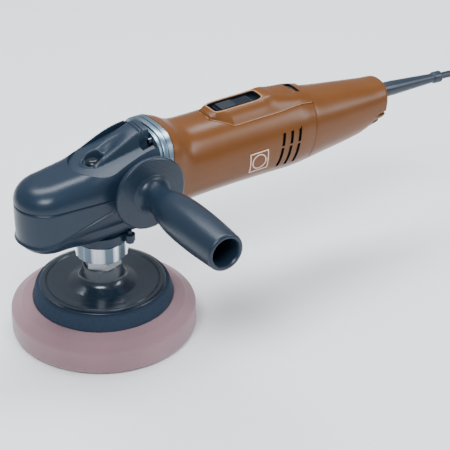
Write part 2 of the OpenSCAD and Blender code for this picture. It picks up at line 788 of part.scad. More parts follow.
// ---------- head covers and lock ----------

module head_cover() {
    cut_x = -26;
    color(dark) difference() {
        head_skin(hood_levels, 0, 0);
        head_skin(hood_hollow, case_t, 1);
        translate([0, 0, seam_z + 12]) linear_extrude(height = 20) union() {
            translate([cut_x + hood_cut_w, 0]) circle(r = hood_cut_w, $fn = 96);
            translate([cut_x + hood_cut_w, -hood_cut_w]) square([80, 2 * hood_cut_w]);
        }
        handle_socket_cuts();
        joint_screw_cuts();
    }
}

// A cross-section of the panel inside the hood's opening, flat underneath
function panel_ring(x, w, z0, z1, drop, k) = [for (i = [0:k]) let (u = -1 + 2 * i / k)
    [x, -u * w, z1 - drop * u * u]];
function closed_panel(x, w, z0, z1, drop, k) =
    concat(panel_ring(x, w, z0, z1, drop, k), [[x, -w, z0], [x, w, z0]]);

module top_panel() {
    gap = 0.3;
    w = hood_cut_w - gap;
    base_z = seam_z + 14.3;
    stations = [[-25.7, 3, base_z + 4.5], [-24, 9.5, base_z + 5.2], [-18.5, 18.4, base_z + 6.4],
        [-10, 24.4, base_z + 7.6], [2, w, base_z + 9.2], [22, w, base_z + 14], [40, w, base_z + 19]];
    wedge_w = 15;
    color(dark) difference() {
        union() {
            skin([for (q = stations) closed_panel(q[0], q[1], base_z, q[2], 3 * q[1] / w, 12)]);
            skin([for (q = [[-9, 9, base_z + 8], [4, 10.5, base_z + 13], [24, 13.5, base_z + 23],
                    [36, wedge_w, base_z + 29],
                    [40, wedge_w, base_z + 29.6]])
                [for (p = [[-1, 0], [-0.7, 0.97], [0, 1], [0.7, 0.97], [1, 0]])
                    [q[0], -p[0] * q[1], base_z + 4 + p[1] * (q[2] - base_z - 4)]]]);
        }
        translate([lock_x, 0, base_z - 1]) cylinder(h = 40, r = button_r + 0.3, $fn = 64);
        translate([lock_x, 0, base_z + 5.6]) cylinder(h = 40, r = button_r + 2.4, $fn = 64);
        translate([lock_x, 0, base_z - 1]) cylinder(h = 4.8, r = button_r + 1.8, $fn = 64);
        translate([4, -22, base_z - 1]) cube([40, 44, 6]);
        handle_socket_cuts();
        joint_screw_cuts();
        behind_joint();
    }
}

pin_tip_z = motor_z + lock_ring_r + 1.2;
button_base_z = arm_z + arm_t + button_travel + 0.6;
module lock_button() {
    dome_z = seam_z + 20.4;
    color(dark) {
        translate([lock_x, 0, button_base_z])
            cylinder(h = dome_z - button_base_z - 1, r = button_r, $fn = 64);
        translate([lock_x, 0, button_base_z]) cylinder(h = 1.6, r = button_r + 1.4, $fn = 64);
        translate([lock_x, 0, dome_z - 1]) intersection() {
            cylinder(h = 3, r = button_r, $fn = 64);
            translate([0, 0, -14.4]) sphere(r = 15.5, $fn = 96);
        }
    }
    color(steel) translate([lock_x, 0, pin_tip_z])
        cylinder(h = button_base_z - pin_tip_z + 0.5, r = 2.2, $fn = 48);
}

module lock_spring() {
    color(steel) translate([lock_x, 0, arm_z + arm_t])
        coil_spring(3.2, 0.3, button_base_z - arm_z - arm_t, 3);
}

// ---------- joint ring and motor housing ----------

// Each housing section is [x, half width, half height, middle height, exponent]
joint_section = [ring_x, joint_w, joint_h, joint_zc, joint_p];
housing_sections = [[housing_x, joint_w, joint_h, joint_zc, joint_p],
    [housing_x + 8, 36, 38, joint_zc - 1, 2.8],
    [housing_x + 18, 34.6, 35.4, motor_z + 0.8, 2.4], [housing_x + 30, 34.2, 34.6, motor_z, 2.2],
    [110, 33.6, 34, motor_z, 2.2], [150, 33.6, 34, motor_z - 0.5, 2.2], [180, 33.6, 34.6, motor_z - 1.2, 2.2],
    [seam_x, 31.6, 32.6, motor_z - 2.6, 2.2]];
rear_sections = [[seam_x, 30.6, 31.6, motor_z - 2.6, 2.2], [220, 29, 29.6, motor_z - 3.6, 2.2],
    [250, 25.6, 26.2, motor_z - 4.4, 2.25], [275, 22.6, 22.8, motor_z - 4.6, 2.3],
    [288, 20.6, 20.8, motor_z - 4.2, 2.3], [294, 18, 18.6, motor_z - 3.6, 2.3],
    [rear_x, 13.5, 14.5, motor_z - 3, 2.2]];

// A skin through sections, each moved by t towards its own middle and by shift along X
module section_skin(sections, t, first_shift = 0, last_shift = 0) {
    m = len(sections) - 1;
    skin([for (i = [0:m]) let (q = sections[i], s = i == 0 ? first_shift : i == m ? last_shift : 0)
        section_ring(q[0] + s, q[1] - t, q[2] - t, q[3], q[4])]);
}

// Each joint screw's place across the joint, its height and the thickness under its head
joint_screw_at = [[-15, motor_z + 35, 0], [15, motor_z + 35, 0], [-20, motor_z - 27, 5],
    [20, motor_z - 27, 5]];
screw_head_r = 3.6;
module at_joint_screws(under_head = false) {
    for (q = joint_screw_at)
        translate([ring_x + rake * (q[1] - motor_z) - (under_head ? q[2] : 0), q[0], q[1]])
        rotate([0, 90, 0]) children();
}
module joint_screw_cuts() {
    at_joint_screws() translate([0, 0, -30]) cylinder(h = 30, r = screw_head_r + 0.6, $fn = 48);
}

// Everything behind the raked joint face of the head
module behind_joint() {
    translate([ring_x, 0, motor_z]) rotate([0, atan(rake), 0]) translate([0, -50, -60]) cube([60, 100, 120]);
}

module joint_ring() {
    web_t = 4;
    color(alloy) difference() {
        section_skin([joint_section, housing_sections[0]], 0);
        section_skin([joint_section, [housing_x - web_t, joint_w, joint_h, joint_zc, joint_p]], 8, -1, 0);
        bearing_bore(0, 100, 8);
        at_joint_screws() translate([0, 0, -30]) cylinder(h = 60, r = 2, $fn = 32);
        joint_screw_cuts();
    }
}

module joint_screws() {
    head_l = 3;
    color(bright) {
        at_joint_screws() cylinder(h = ring_t + 5, r = 2, $fn = 32);
        at_joint_screws(true) {
            cylinder(h = 6, r = 2, $fn = 32);
            translate([0, 0, -head_l]) difference() {
                cylinder(h = head_l, r = screw_head_r, $fn = 48);
                translate([0, 0, -1]) cylinder(h = 2.4, r = 1.6, $fn = 6);
            }
        }
    }
}

// Vent slots of the housing, along the lower flanks
slot_x = [164, 173, 182];
module vent_slots() {
    for (x = slot_x, s = [-1, 1], q = [[motor_z - 1, 12], [motor_z - 18, 13]])
        translate([x + rake * (q[0] - motor_z), s * 33, q[0]]) rotate([0, atan(rake), 0])
            cube([2.2, 16, q[1]], center = true);
}

switch_x = 132;
dial_x = seam_x - dial_w - 5;
dial_z = motor_z + 18;
baffle_x = 67.6;
carrier_r = 29.6;
// Seats inside the housing that hold the air baffle, the stator and the brush carrier
module housing_seats() {
    along_x(baffle_x) sleeve(0, core_end_x - baffle_x, stator_r, stator_r + 5);
    along_x(brush_x - 6) sleeve(0, 14, carrier_r, stator_r + 5);
    at_joint_screws() cylinder(h = ring_t + 8, r = 4.6, $fn = 48);
}

module motor_housing() {
    color(brown) difference() {
        section_skin(housing_sections, 0);
        difference() {
            section_skin(housing_sections, shell_t, -1, 1);
            housing_seats();
        }
        at_joint_screws() cylinder(h = ring_t + 5, r = 2, $fn = 32);
        vent_slots();
        translate([switch_x - switch_l / 2, -switch_w / 2 - 2, motor_z + 20])
            cube([switch_l, switch_w + 4, 40]);
        along_x(dial_x - 1, dial_z) cylinder(h = dial_w + 2, r = dial_r + 1, $fn = 96);
    }
}

module switch_plate() {
    // sections of the raised panel: x, half width, top height
    stations = [[104, 12, 35.4], [110, 18, 37.6], [120, 20.5, 39.2], [150, 21, 39], [158, 21, 40.2],
        [166, 21, 38], [186, 20, 36], [seam_x + 3.5, 18, 33]];
    color(brown) difference() {
        skin([for (q = stations)
            [for (p = [[-1, 0], [-0.86, 0.6], [-0.5, 0.92], [0, 1], [0.5, 0.92], [0.86, 0.6], [1, 0]])
            [q[0], -p[0] * q[1], motor_z + 24 + p[1] * (q[2] - 24)]]]);
        section_skin([[90, 33.9, 34.3, motor_z, 2.2], [110, 33.75, 34.15, motor_z, 2.2],
            [150, 33.75, 34.15, motor_z - 0.5, 2.2], [180, 33.75, 34.75, motor_z - 1.2, 2.2],
            [seam_x + 12, 30.6, 31.6, motor_z - 3, 2.2]], 0);
        translate([switch_x - switch_l / 2, -switch_w / 2, motor_z]) cube([switch_l, switch_w, 60]);
        translate([dial_x - 1, -11, motor_z]) cube([dial_w + 2, 22, 60]);
    }
}

// The thumb piece, and the bent link that passes beside the speed dial to the switch
module switch_slider() {
    cap_z = motor_z + 31.4;
    cap_l = switch_l - switch_travel - 3;
    cap_x = switch_x - switch_l / 2 + switch_travel + 1.5;
    cap_end = cap_x + cap_l;
    link_y = -21;
    link_w = 2.5;
    link_z = motor_z + 9;
    cross_z = motor_z + 17;
    color(dark) {
        translate([cap_x, -switch_w / 2 + 0.5, cap_z]) cube([cap_l, switch_w - 1, 4.2]);
        translate([cap_x + 2, -switch_w / 2 + 2, cap_z + 4.1]) cube([cap_l / 2 - 2, switch_w - 4, 2.3]);
        for (k = [0:5]) translate([cap_x + cap_l / 2 + 2 + 2.6 * k, -switch_w / 2 + 2, cap_z + 4.1])
            cube([1.4, switch_w - 4, 1.3]);
        translate([cap_end - 7, -4, cross_z]) cube([6, 8, cap_z - cross_z + 1]);
        translate([cap_end - 7, link_y, cross_z]) cube([6, 4 - link_y, 3]);
        translate([cap_end - 7, link_y, link_z]) cube([6, link_w, cross_z - link_z + 1]);
        translate([cap_end - 7, link_y, link_z]) cube([switch_body_x + 8 - cap_end + 7, link_w, 3]);
        translate([switch_body_x + 5, link_y, link_z]) cube([3, -6 - link_y, 3]);
    }
}

switch_body_x = 207;
rib_t = 2.4;
module switch_body() {
    color(carbon) difference() {
        translate([switch_body_x, -9, motor_z - 2]) cube([30, 18, 22]);
        translate([switch_body_x - 3, -10, motor_z + 6]) cube([14, 5, 9]);
    }
}

module speed_dial() {
    color(carbon) along_x(dial_x, dial_z) difference() {
        cylinder(h = dial_w, r = dial_r, $fn = 96);
        for (a = [0:15:359]) rotate(a) translate([dial_r - 0.5, -0.6, -1]) cube([2, 1.2, dial_w + 2]);
        translate([0, 0, -1]) cylinder(h = dial_w + 2, r = 2.5, $fn = 48);
    }
}

// The dial's pivot pin and plate, and the control board behind them
module speed_module() {
    plate_x = dial_x + dial_w + 1;
    board_x = 240;
    board_z = motor_z - 14;
    color(carbon) {
        along_x(dial_x - 1, dial_z) cylinder(h = plate_x - dial_x + 2, r = 2.5 - running_fit, $fn = 48);
        translate([plate_x, -6, board_z + 4]) cube([2.4, 12, dial_z + 5 - board_z - 4]);
        translate([plate_x, -6, board_z + 4]) cube([board_x - plate_x + 1, 12, 3]);
        translate([board_x, -13, board_z]) cube([26, 26, 18]);
    }
}

// Cross ribs inside the rear cover: x and the height of each rib's top
rear_ribs = [[224, motor_z - 2], [232, motor_z - 2], [248, motor_z - 14], [258, motor_z - 14],
    [273, relief_z - 4]];
module rear_cover() {
    color(brown) difference() {
        section_skin(rear_sections, 0);
        difference() {
            section_skin(rear_sections, shell_t, -1, -shell_t);
            for (q = rear_ribs) translate([q[0], -40, 80]) cube([rib_t, 80, q[1] - 80]);
        }
        // notched air inlets at the lower rear edge
        for (k = [0:2]) translate([279 + 3.4 * k, 0, motor_z - 26.5 + 4.2 * k]) rotate([0, -38, 0])
            cube([9, 26, 1.8], center = true);
        relief_axis() translate([0, 0, -12]) cylinder(h = 24, r = 6.1, $fn = 64);
        translate([dial_x, -8, motor_z + 2]) cube([30, 16, 3]);
        translate([200, -6.3, motor_z - 11]) cube([38, 12.6, 5]);
        cord_clamp_block();
    }
}

module badge() {
    color([0.86, 0.72, 0.66]) intersection() {
        translate([130, -20, motor_z - 16]) rotate([90, 0, 0]) linear_extrude(height = 30)
            difference() {
                union() {
                    difference() {
                        square(19);
                        translate([0.9, 0.9]) square(17.2);
                    }
                    translate([9.5, 9.5]) circle(r = 7.2, $fn = 48);
                }
                translate([9.5, 9.5]) circle(r = 6.3, $fn = 48);
            }
        difference() {
            section_skin(housing_sections, -0.4);
            section_skin(housing_sections, 0, -2, 2);
        }
    }
}

// ---------- side handle ----------

module along_handle() { translate([handle_x, -guard_y, handle_z]) rotate([90, 0, 0]) children(); }

module side_handle() {
    guard_t = 5;
    neck_r = 12;
    end = handle_l;
    bulge_z = 0.62 * end;
    color(dark) along_handle() difference() {
        rotate_extrude($fn = 128) difference() {
            union() {
                polygon([[0, 0], [guard_r - 1.5, 0], [guard_r, 1.5], [guard_r, guard_t - 2],
                    [guard_r - 2, guard_t], [neck_r + 6, guard_t + 2], [neck_r + 1.6, guard_t + 5],
                    [neck_r, guard_t + 10], [neck_r + 1, guard_t + 18],
                    [grip_r - 1.4, bulge_z - 30], [grip_r - 0.3, bulge_z - 14], [grip_r, bulge_z],
                    [grip_r - 0.3, bulge_z + 14], [grip_r - 1.2, end - 16], [grip_r - 2, end - 4],
                    [grip_r - 3.5, end - 0.8], [grip_r - 5, end], [0, end]]);
            }
        }
        translate([0, 0, end - 62]) cylinder(h = 70, r = handle_bore_r, $fn = 96);
        translate([0, 0, -1]) cylinder(h = 26, r = stud_r, $fn = 64);
    }
}

module handle_stud() {
    color(steel) along_handle() translate([0, 0, -18]) cylinder(h = 42, r = stud_r, $fn = 64);
}

// ---------- cord ----------

module relief_axis() { translate([relief_x, 0, relief_z]) rotate([0, 90 + relief_drop, 0]) children(); }

module cord_clamp_block() {
    relief_axis() translate([-8, -9, -26]) cube([16, 18, 8]);
}

module cord_clamp() {
    color(carbon) difference() {
        cord_clamp_block();
        relief_axis() translate([0, 0, -30]) cylinder(h = 16, r = cord_r, $fn = 64);
    }
}

module cord_relief() {
    root_r = 7;
    tip_r = 4.1;
    color(dark) relief_axis() difference() {
        rotate_extrude($fn = 64) polygon([[0, -14], [6.1, -14], [6.1, 3.8], [root_r, 4], [root_r - 0.4, 13],
            [tip_r, relief_l - 10], [tip_r, relief_l - 8.5], [5.3, relief_l - 8], [5.4, relief_l - 1],
            [4.6, relief_l], [0, relief_l]]);
        translate([0, 0, -20]) cylinder(h = relief_l + 30, r = cord_r, $fn = 64);
    }
}

module cord_run() {
    color(dark) swept(cord_route, cord_r, 10);
}

module cord_coil() {
    color(dark) translate([coil_c[0], coil_c[1], 0]) rotate_extrude($fn = 96)
        translate([coil_in_r, 0]) square([coil_out_r - coil_in_r, coil_h]);
}

module cord_tail() {
    color(dark) swept(tail_route, cord_r, 10);
}

module cord_tie() {
    wide = 8;
    thick = 1.2;
    ring_w = coil_out_r - coil_in_r;
    color(carbon) translate([coil_c[0], coil_c[1], 0]) rotate(-20) difference() {
        translate([coil_in_r - thick, -wide / 2, 0]) cube([ring_w + 2 * thick, wide, coil_h + thick]);
        translate([coil_in_r - 0.4, -wide, -1]) cube([ring_w + 0.4, 2 * wide, coil_h + 1]);
    }
}

module plug_axis() { translate(plug_at) rotate([-90, 0, 0]) children(); }

module plug_body() {
    color(dark) plug_axis() difference() {
        rotate_extrude($fn = 96) polygon([[0, 0], [5, 0], [6.5, 14], [9, 18], [15.5, 21], [17, 23], [17, 40],
            [16, 41], [0, 41]]);
        translate([0, 0, -1]) cylinder(h = 12, r = cord_r, $fn = 64);
    }
}

module plug_pins() {
    color(bright) plug_axis() for (s = [-1, 1]) translate([s * 9.5, 0, 41])
        cylinder(h = 19, r = 2.4, $fn = 48);
}

// ---------- assembly ----------
foam_pad();
backing_cushion();
backing_plate();
hub_insert();
spindle();
spindle_collar();
spindle_gear();
spindle_circlip();
lower_bearing();
upper_bearing();
bearing_flange();
flange_screws();
gear_case();
gear_bridge();
bridge_screws();
counter_lower_bearing();
counter_top_bearing();
countershaft();
bevel_gear();
bevel_pinion();
lock_ring();
armature_shaft();
front_motor_bearing();
cooling_fan();
armature_core();
armature_windings();
commutator();
rear_motor_bearing();
bearing_cup();
brush_carrier();
brush_left();
brush_right();
brush_springs();
stator_core();
stator_windings();
air_baffle();
head_cover();
top_panel();
lock_button();
lock_spring();
joint_ring();
joint_screws();
motor_housing();
switch_plate();
switch_slider();
switch_body();
speed_dial();
speed_module();
rear_cover();
badge();
side_handle();
handle_stud();
cord_clamp();
cord_relief();
cord_run();
cord_coil();
cord_tail();
cord_tie();
plug_body();
plug_pins();
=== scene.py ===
"""The visible model of a right-angle rotary polisher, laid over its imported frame, in metres."""

import math

import bmesh
import bpy
import numpy as np
from mathutils import Matrix, Vector


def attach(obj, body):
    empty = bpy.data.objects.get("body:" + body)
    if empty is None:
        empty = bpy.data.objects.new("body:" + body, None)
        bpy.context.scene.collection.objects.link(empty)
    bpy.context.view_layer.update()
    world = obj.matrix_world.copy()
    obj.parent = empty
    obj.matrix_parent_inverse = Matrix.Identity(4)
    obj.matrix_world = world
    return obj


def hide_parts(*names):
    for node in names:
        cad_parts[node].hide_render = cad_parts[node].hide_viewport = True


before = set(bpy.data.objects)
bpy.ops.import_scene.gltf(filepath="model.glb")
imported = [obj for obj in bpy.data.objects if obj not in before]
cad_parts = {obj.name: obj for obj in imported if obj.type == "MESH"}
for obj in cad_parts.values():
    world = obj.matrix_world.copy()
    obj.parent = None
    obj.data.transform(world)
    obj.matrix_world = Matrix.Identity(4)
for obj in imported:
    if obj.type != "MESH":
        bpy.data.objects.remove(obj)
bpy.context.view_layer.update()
MM = 0.001

# ---------------------------------------------------------------------------
# Camera, floor and studio light
# The tool stands on its pad on a pale sweep, under large soft boxes that are slightly cool.
# ---------------------------------------------------------------------------
camera_data = bpy.data.cameras.new("studio_camera")
camera_data.lens = 152.3
camera_data.sensor_width = 36.0
camera_data.clip_end = 20.0
camera = bpy.data.objects.new("studio_camera", camera_data)
camera.location = (-0.6757, -1.1980, 0.9367)
camera.rotation_euler = (math.radians(90 - 31.41), 0.0, math.radians(-33.8))
bpy.context.scene.collection.objects.link(camera)
bpy.context.scene.camera = camera


def soft_box(name, place, aim, size, power, colour):
    """A rectangular lamp at place that faces aim; size is its width and height."""
    lamp = bpy.data.lights.new(name, "AREA")
    lamp.shape = "RECTANGLE"
    lamp.size, lamp.size_y = size
    lamp.energy = power
    lamp.color = colour
    holder = bpy.data.objects.new(name, lamp)
    holder.location = place
    holder.rotation_euler = (Vector(aim) - Vector(place)).to_track_quat("-Z", "Y").to_euler()
    bpy.context.scene.collection.objects.link(holder)


soft_box("key_box", (-0.75, -0.75, 1.45), (0.05, 0.0, 0.1), (0.8, 0.5), 28.0, (0.88, 0.94, 1.0))
soft_box("top_box", (0.3, 0.5, 1.5), (0.12, 0.0, 0.1), (1.5, 0.5), 32.0, (0.90, 0.94, 1.0))
soft_box("side_box", (1.2, -0.9, 1.0), (0.1, 0.0, 0.1), (0.5, 0.9), 13.0, (0.92, 0.95, 1.0))

world = bpy.data.worlds.new("pale_room")
world.use_nodes = True
world.node_tree.nodes["Background"].inputs["Color"].default_value = (0.93, 0.96, 1.0, 1.0)
world.node_tree.nodes["Background"].inputs["Strength"].default_value = 0.50
bpy.context.scene.world = world


# ---------------------------------------------------------------------------
# Mains lead, strain relief and plug
# A two-core rubber lead leaves the rear cover through a tapered rubber sleeve, droops to the
# surface and is wound into a round coil with a strap, ending in a moulded plug.
# ---------------------------------------------------------------------------
def new_group(name, inputs, outputs):
    """An empty shader group with named float inputs (with defaults) and float outputs."""
    group = bpy.data.node_groups.new(name, "ShaderNodeTree")
    for label, value in inputs:
        socket = group.interface.new_socket(label, in_out="INPUT", socket_type="NodeSocketFloat")
        socket.default_value = value
    for label in outputs:
        group.interface.new_socket(label, in_out="OUTPUT", socket_type="NodeSocketFloat")
    return group, group.nodes.new("NodeGroupInput"), group.nodes.new("NodeGroupOutput")


def math_node(tree, operation, first, second):
    """A Math node; each argument is a socket or a number."""
    node = tree.nodes.new("ShaderNodeMath")
    node.operation = operation
    for socket, value in zip(node.inputs, (first, second)):
        if isinstance(value, (int, float)):
            socket.default_value = value
        else:
            tree.links.new(value, socket)
    return node.outputs[0]


def noise_node(tree, coordinates, scale, detail):
    """A Noise texture on the given coordinates; scale is a socket or a number."""
    node = tree.nodes.new("ShaderNodeTexNoise")
    node.inputs["Detail"].default_value = detail
    tree.links.new(coordinates, node.inputs["Vector"])
    if isinstance(scale, (int, float)):
        node.inputs["Scale"].default_value = scale
    else:
        tree.links.new(scale, node.inputs["Scale"])
    return node.outputs[0]


# Moulded skin: broad handling marks, and a fine grain. Tone is 1 plus or minus Mottle.
skin_group, skin_in, skin_out = new_group(
    "moulded_skin",
    [("Mottle", 0.06), ("Grain size", 1600.0), ("Marks size", 35.0)],
    ["Tone", "Marks", "Grain"],
)
skin_place = skin_group.nodes.new("ShaderNodeTexCoord").outputs["Object"]
skin_marks = noise_node(skin_group, skin_place, skin_in.outputs["Marks size"], 5.0)
skin_grain = noise_node(skin_group, skin_place, skin_in.outputs["Grain size"], 2.0)
skin_shift = math_node(skin_group, "SUBTRACT", skin_marks, 0.5)
skin_step = math_node(skin_group, "MULTIPLY", skin_shift, skin_in.outputs["Mottle"])
skin_twice = math_node(skin_group, "MULTIPLY", skin_step, 4.0)
skin_tone = math_node(skin_group, "ADD", skin_twice, 1.0)
skin_group.links.new(skin_tone, skin_out.inputs["Tone"])
skin_group.links.new(skin_marks, skin_out.inputs["Marks"])
skin_group.links.new(skin_grain, skin_out.inputs["Grain"])


def finish(name, colour, rough, metal=0.0, mottle=0.06, grain=1600.0, bump=0.12, depth=0.0001, spread=0.12,
           marks=35.0, coat=0.0, specular=0.5):
    """A Principled material. Base colour = colour x Tone, roughness = rough + spread x (Marks - 0.5),
    and the fine grain is a bump of the given strength and depth in metres."""
    material = bpy.data.materials.new(name)
    material.use_nodes = True
    tree = material.node_tree
    shader = tree.nodes["Principled BSDF"]
    shader.inputs["Metallic"].default_value = metal
    shader.inputs["Specular IOR Level"].default_value = specular
    shader.inputs["Coat Weight"].default_value = coat
    shader.inputs["Coat Roughness"].default_value = 0.15
    skin = tree.nodes.new("ShaderNodeGroup")
    skin.node_tree = skin_group
    skin.inputs["Mottle"].default_value = mottle
    skin.inputs["Grain size"].default_value = grain
    skin.inputs["Marks size"].default_value = marks
    tint = tree.nodes.new("ShaderNodeVectorMath")
    tint.operation = "SCALE"
    tint.inputs[0].default_value = colour
    tree.links.new(skin.outputs["Tone"], tint.inputs["Scale"])
    tree.links.new(tint.outputs[0], shader.inputs["Base Color"])
    shift = math_node(tree, "SUBTRACT", skin.outputs["Marks"], 0.5)
    swing = math_node(tree, "MULTIPLY", shift, spread)
    tree.links.new(math_node(tree, "ADD", swing, rough), shader.inputs["Roughness"])
    relief = tree.nodes.new("ShaderNodeBump")
    relief.inputs["Strength"].default_value = bump
    relief.inputs["Distance"].default_value = depth
    tree.links.new(skin.outputs["Grain"], relief.inputs["Height"])
    tree.links.new(relief.outputs["Normal"], shader.inputs["Normal"])
    return material


def dress(material, *nodes):
    """Puts a material in the slots of CAD nodes that keep their own shape."""
    for node in nodes:
        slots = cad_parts[node].data.materials
        slots.clear()
        slots.append(material)


def add_piece(name, mesh, material, body, slot, *nodes, smooth=40.0):
    """Links a mesh as a piece that rides on body and stands for the CAD nodes, which it hides; slot is not
    used.
    """
    piece = bpy.data.objects.new(name, mesh)
    bpy.context.scene.collection.objects.link(piece)
    mesh.materials.append(material)
    mesh.shade_smooth()
    mesh.set_sharp_from_angle(angle=math.radians(smooth))
    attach(piece, body)
    if nodes:
        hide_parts(*nodes)
    return piece


def grid_faces(rows, columns, wrap_rows=False, wrap_columns=False):
    """Quads of a rows x columns grid of points, wrapping round where asked."""
    r = np.arange(rows if wrap_rows else rows - 1)[:, None]
    c = np.arange(columns if wrap_columns else columns - 1)[None, :]
    r_next = (r + 1) % rows
    c_next = (c + 1) % columns
    corners = [(r, c), (r, c_next), (r_next, c_next), (r_next, c)]
    return np.stack([row * columns + column for row, column in corners], axis=-1).reshape(-1, 4)


def skin_mesh(name, grids):
    """One mesh from grids of points, each (points, wrap_rows, wrap_columns): doubles merged, faces out."""
    work = bmesh.new()
    for points, wrap_rows, wrap_columns in grids:
        rows, columns = points.shape[:2]
        part = bpy.data.meshes.new("part")
        faces = grid_faces(rows, columns, wrap_rows, wrap_columns)
        part.from_pydata(points.reshape(-1, 3).tolist(), [], faces.tolist())
        work.from_mesh(part)
        bpy.data.meshes.remove(part)
    bmesh.ops.remove_doubles(work, verts=work.verts, dist=1e-6)
    bmesh.ops.dissolve_degenerate(work, edges=work.edges, dist=1e-7)
    bmesh.ops.recalc_face_normals(work, faces=work.faces)
    mesh = bpy.data.meshes.new(name)
    work.to_mesh(mesh)
    work.free()
    return mesh


def rounded(points, steps=5):
    """A profile through corners (a, b, radius): each corner becomes an arc tangent to both its sides.
    Arc centre: along the bisector at radius / sin(half angle) from the corner."""
    corner = np.array(points, float)
    path = [corner[:1, :2]]
    for before, here, after in zip(corner[:-2], corner[1:-1], corner[2:]):
        radius = here[2]
        if radius <= 0:
            path.append(here[None, :2])
            continue
        one = (before[:2] - here[:2]) / np.linalg.norm(before[:2] - here[:2])
        two = (after[:2] - here[:2]) / np.linalg.norm(after[:2] - here[:2])
        half = 0.5 * math.acos(np.clip(one @ two, -1.0, 1.0))
        reach = radius / math.tan(half)
        middle = here[:2] + (one + two) / np.linalg.norm(one + two) * radius / math.sin(half)
        start = here[:2] + one * reach - middle
        end = here[:2] + two * reach - middle
        t = np.linspace(0.0, 1.0, steps + 1)[:, None]
        arc = start * (1 - t) + end * t
        path.append(middle + arc / np.linalg.norm(arc, axis=1)[:, None] * radius)
    path.append(corner[-1:, :2])
    return np.concatenate(path)


def turned(profile, sides=96, axis=Matrix.Identity(4)):
    """Points of a profile (radius, height) in millimetres turned about the local Z of axis."""
    angle = np.linspace(0.0, 2 * np.pi, sides, endpoint=False)
    radius, height = profile[:, 0][:, None], profile[:, 1][:, None]
    points = np.stack([radius * np.cos(angle), radius * np.sin(angle), height + 0 * angle], axis=-1) * MM
    turn = np.array(axis.to_3x3())
    return points @ turn.T + np.array(axis.translation)


def smooth_path(points, steps):
    """A Catmull-Rom curve through points, with steps samples between each two."""
    p = np.concatenate([[2 * points[0] - points[1]], points, [2 * points[-1] - points[-2]]])
    t = np.linspace(0.0, 1.0, steps, endpoint=False)[None, :, None]
    a, b, c, d = (p[k : len(p) - 3 + k, None, :] for k in range(4))
    curve = 0.5 * (2 * b + (c - a) * t + (2 * a - 5 * b + 4 * c - d) * t**2 + (3 * b - a - 3 * c + d) * t**3)
    return np.concatenate([curve.reshape(-1, points.shape[1]), points[-1:]])


LEAD_R = 3.25
COIL_R = 47.25
FULL_TURNS = 15
LAST_TURN = 155
COIL_MIDDLE = np.array([516.0, -47.25])
RELIEF_AXIS = Matrix.Translation((0.296, 0.0, 0.1415)) @ Matrix.Rotation(math.radians(94.0), 4, "Y")
lead_exit = RELIEF_AXIS @ Vector((0.0, 0.0, 0.070))
lead_fall = np.array([
    [379, 0, 135.4], [391, 0, 132.3], [402, 0, 127], [411.5, 0, 119.5], [419.5, 0, 110], [425.5, 0, 99],
    [430, 0, 87], [433.5, 0, 75], [436.5, 0, 63], [440, 0, 51], [445, 0, 39], [452, 0, 27.5], [461, 0, 17.5],
    [472, 0, 9.5], [484, 0, 4.8], [496, 0, 3.25], [506, 0, 3.25],
])
lead_tail = np.array([
    [520, -95.5, 24], [508, -99, 28], [497, -100.5, 33], [487.5, -97, 38], [481.5, -89.5, 41.8],
    [479.2, -80, 43], [479, -74, 43],
])
# The coil's turns, clockwise from its far side: out to in on one layer, in to out on the next
turn_angle = np.arange(0.0, FULL_TURNS * 360 + LAST_TURN, 11.25)
turn_number = np.floor(turn_angle / 360)
turn_step = np.clip((turn_angle - 360 * turn_number - 300) / 60, 0, 1)
turn_step = turn_step * turn_step * (3 - 2 * turn_step)


def turn_place(number):
    """Radius and height of a turn's middle: four turns a layer, one lead's thickness apart."""
    layer = number // 4
    along = number - 4 * layer
    inward = np.where(layer % 2 == 0, along, 3 - along)
    return np.stack([COIL_R - 2 * LEAD_R * inward, LEAD_R + 2 * LEAD_R * layer], axis=-1)


turn_here = turn_place(turn_number)
turn_after = turn_place(turn_number + 1)
turn_size = turn_here * (1 - turn_step)[:, None] + turn_after * turn_step[:, None]
turn_direction = np.radians(90 - turn_angle)
lead_coil = np.stack([
    COIL_MIDDLE[0] + turn_size[:, 0] * np.cos(turn_direction),
    COIL_MIDDLE[1] + turn_size[:, 0] * np.sin(turn_direction),
    turn_size[:, 1],
], axis=-1)
lead_start = np.array(lead_exit)[None, :] / MM
lead_route = np.concatenate([
    smooth_path(np.concatenate([lead_start, lead_fall]), 5), lead_coil[:-1],
    smooth_path(np.concatenate([lead_coil[-1:], lead_tail]), 5),
]) * MM

lead_curve = bpy.data.curves.new("mains_lead", "CURVE")
lead_curve.dimensions = "3D"
lead_curve.bevel_depth = LEAD_R * MM
lead_curve.bevel_resolution = 3
lead_curve.use_fill_caps = True
lead_line = lead_curve.splines.new("POLY")
lead_line.points.add(len(lead_route) - 1)
lead_line.points.foreach_set("co", np.column_stack([lead_route, np.ones(len(lead_route))]).ravel())
lead_line.use_smooth = True
lead = bpy.data.objects.new("mains_lead", lead_curve)
bpy.context.scene.collection.objects.link(lead)
rubber = finish("lead_rubber", (0.010, 0.020, 0.034), 0.36, mottle=0.08, grain=900.0, bump=0.2)
lead_curve.materials.append(rubber)
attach(lead, "housing")
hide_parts("cord_run", "cord_coil", "cord_tail")

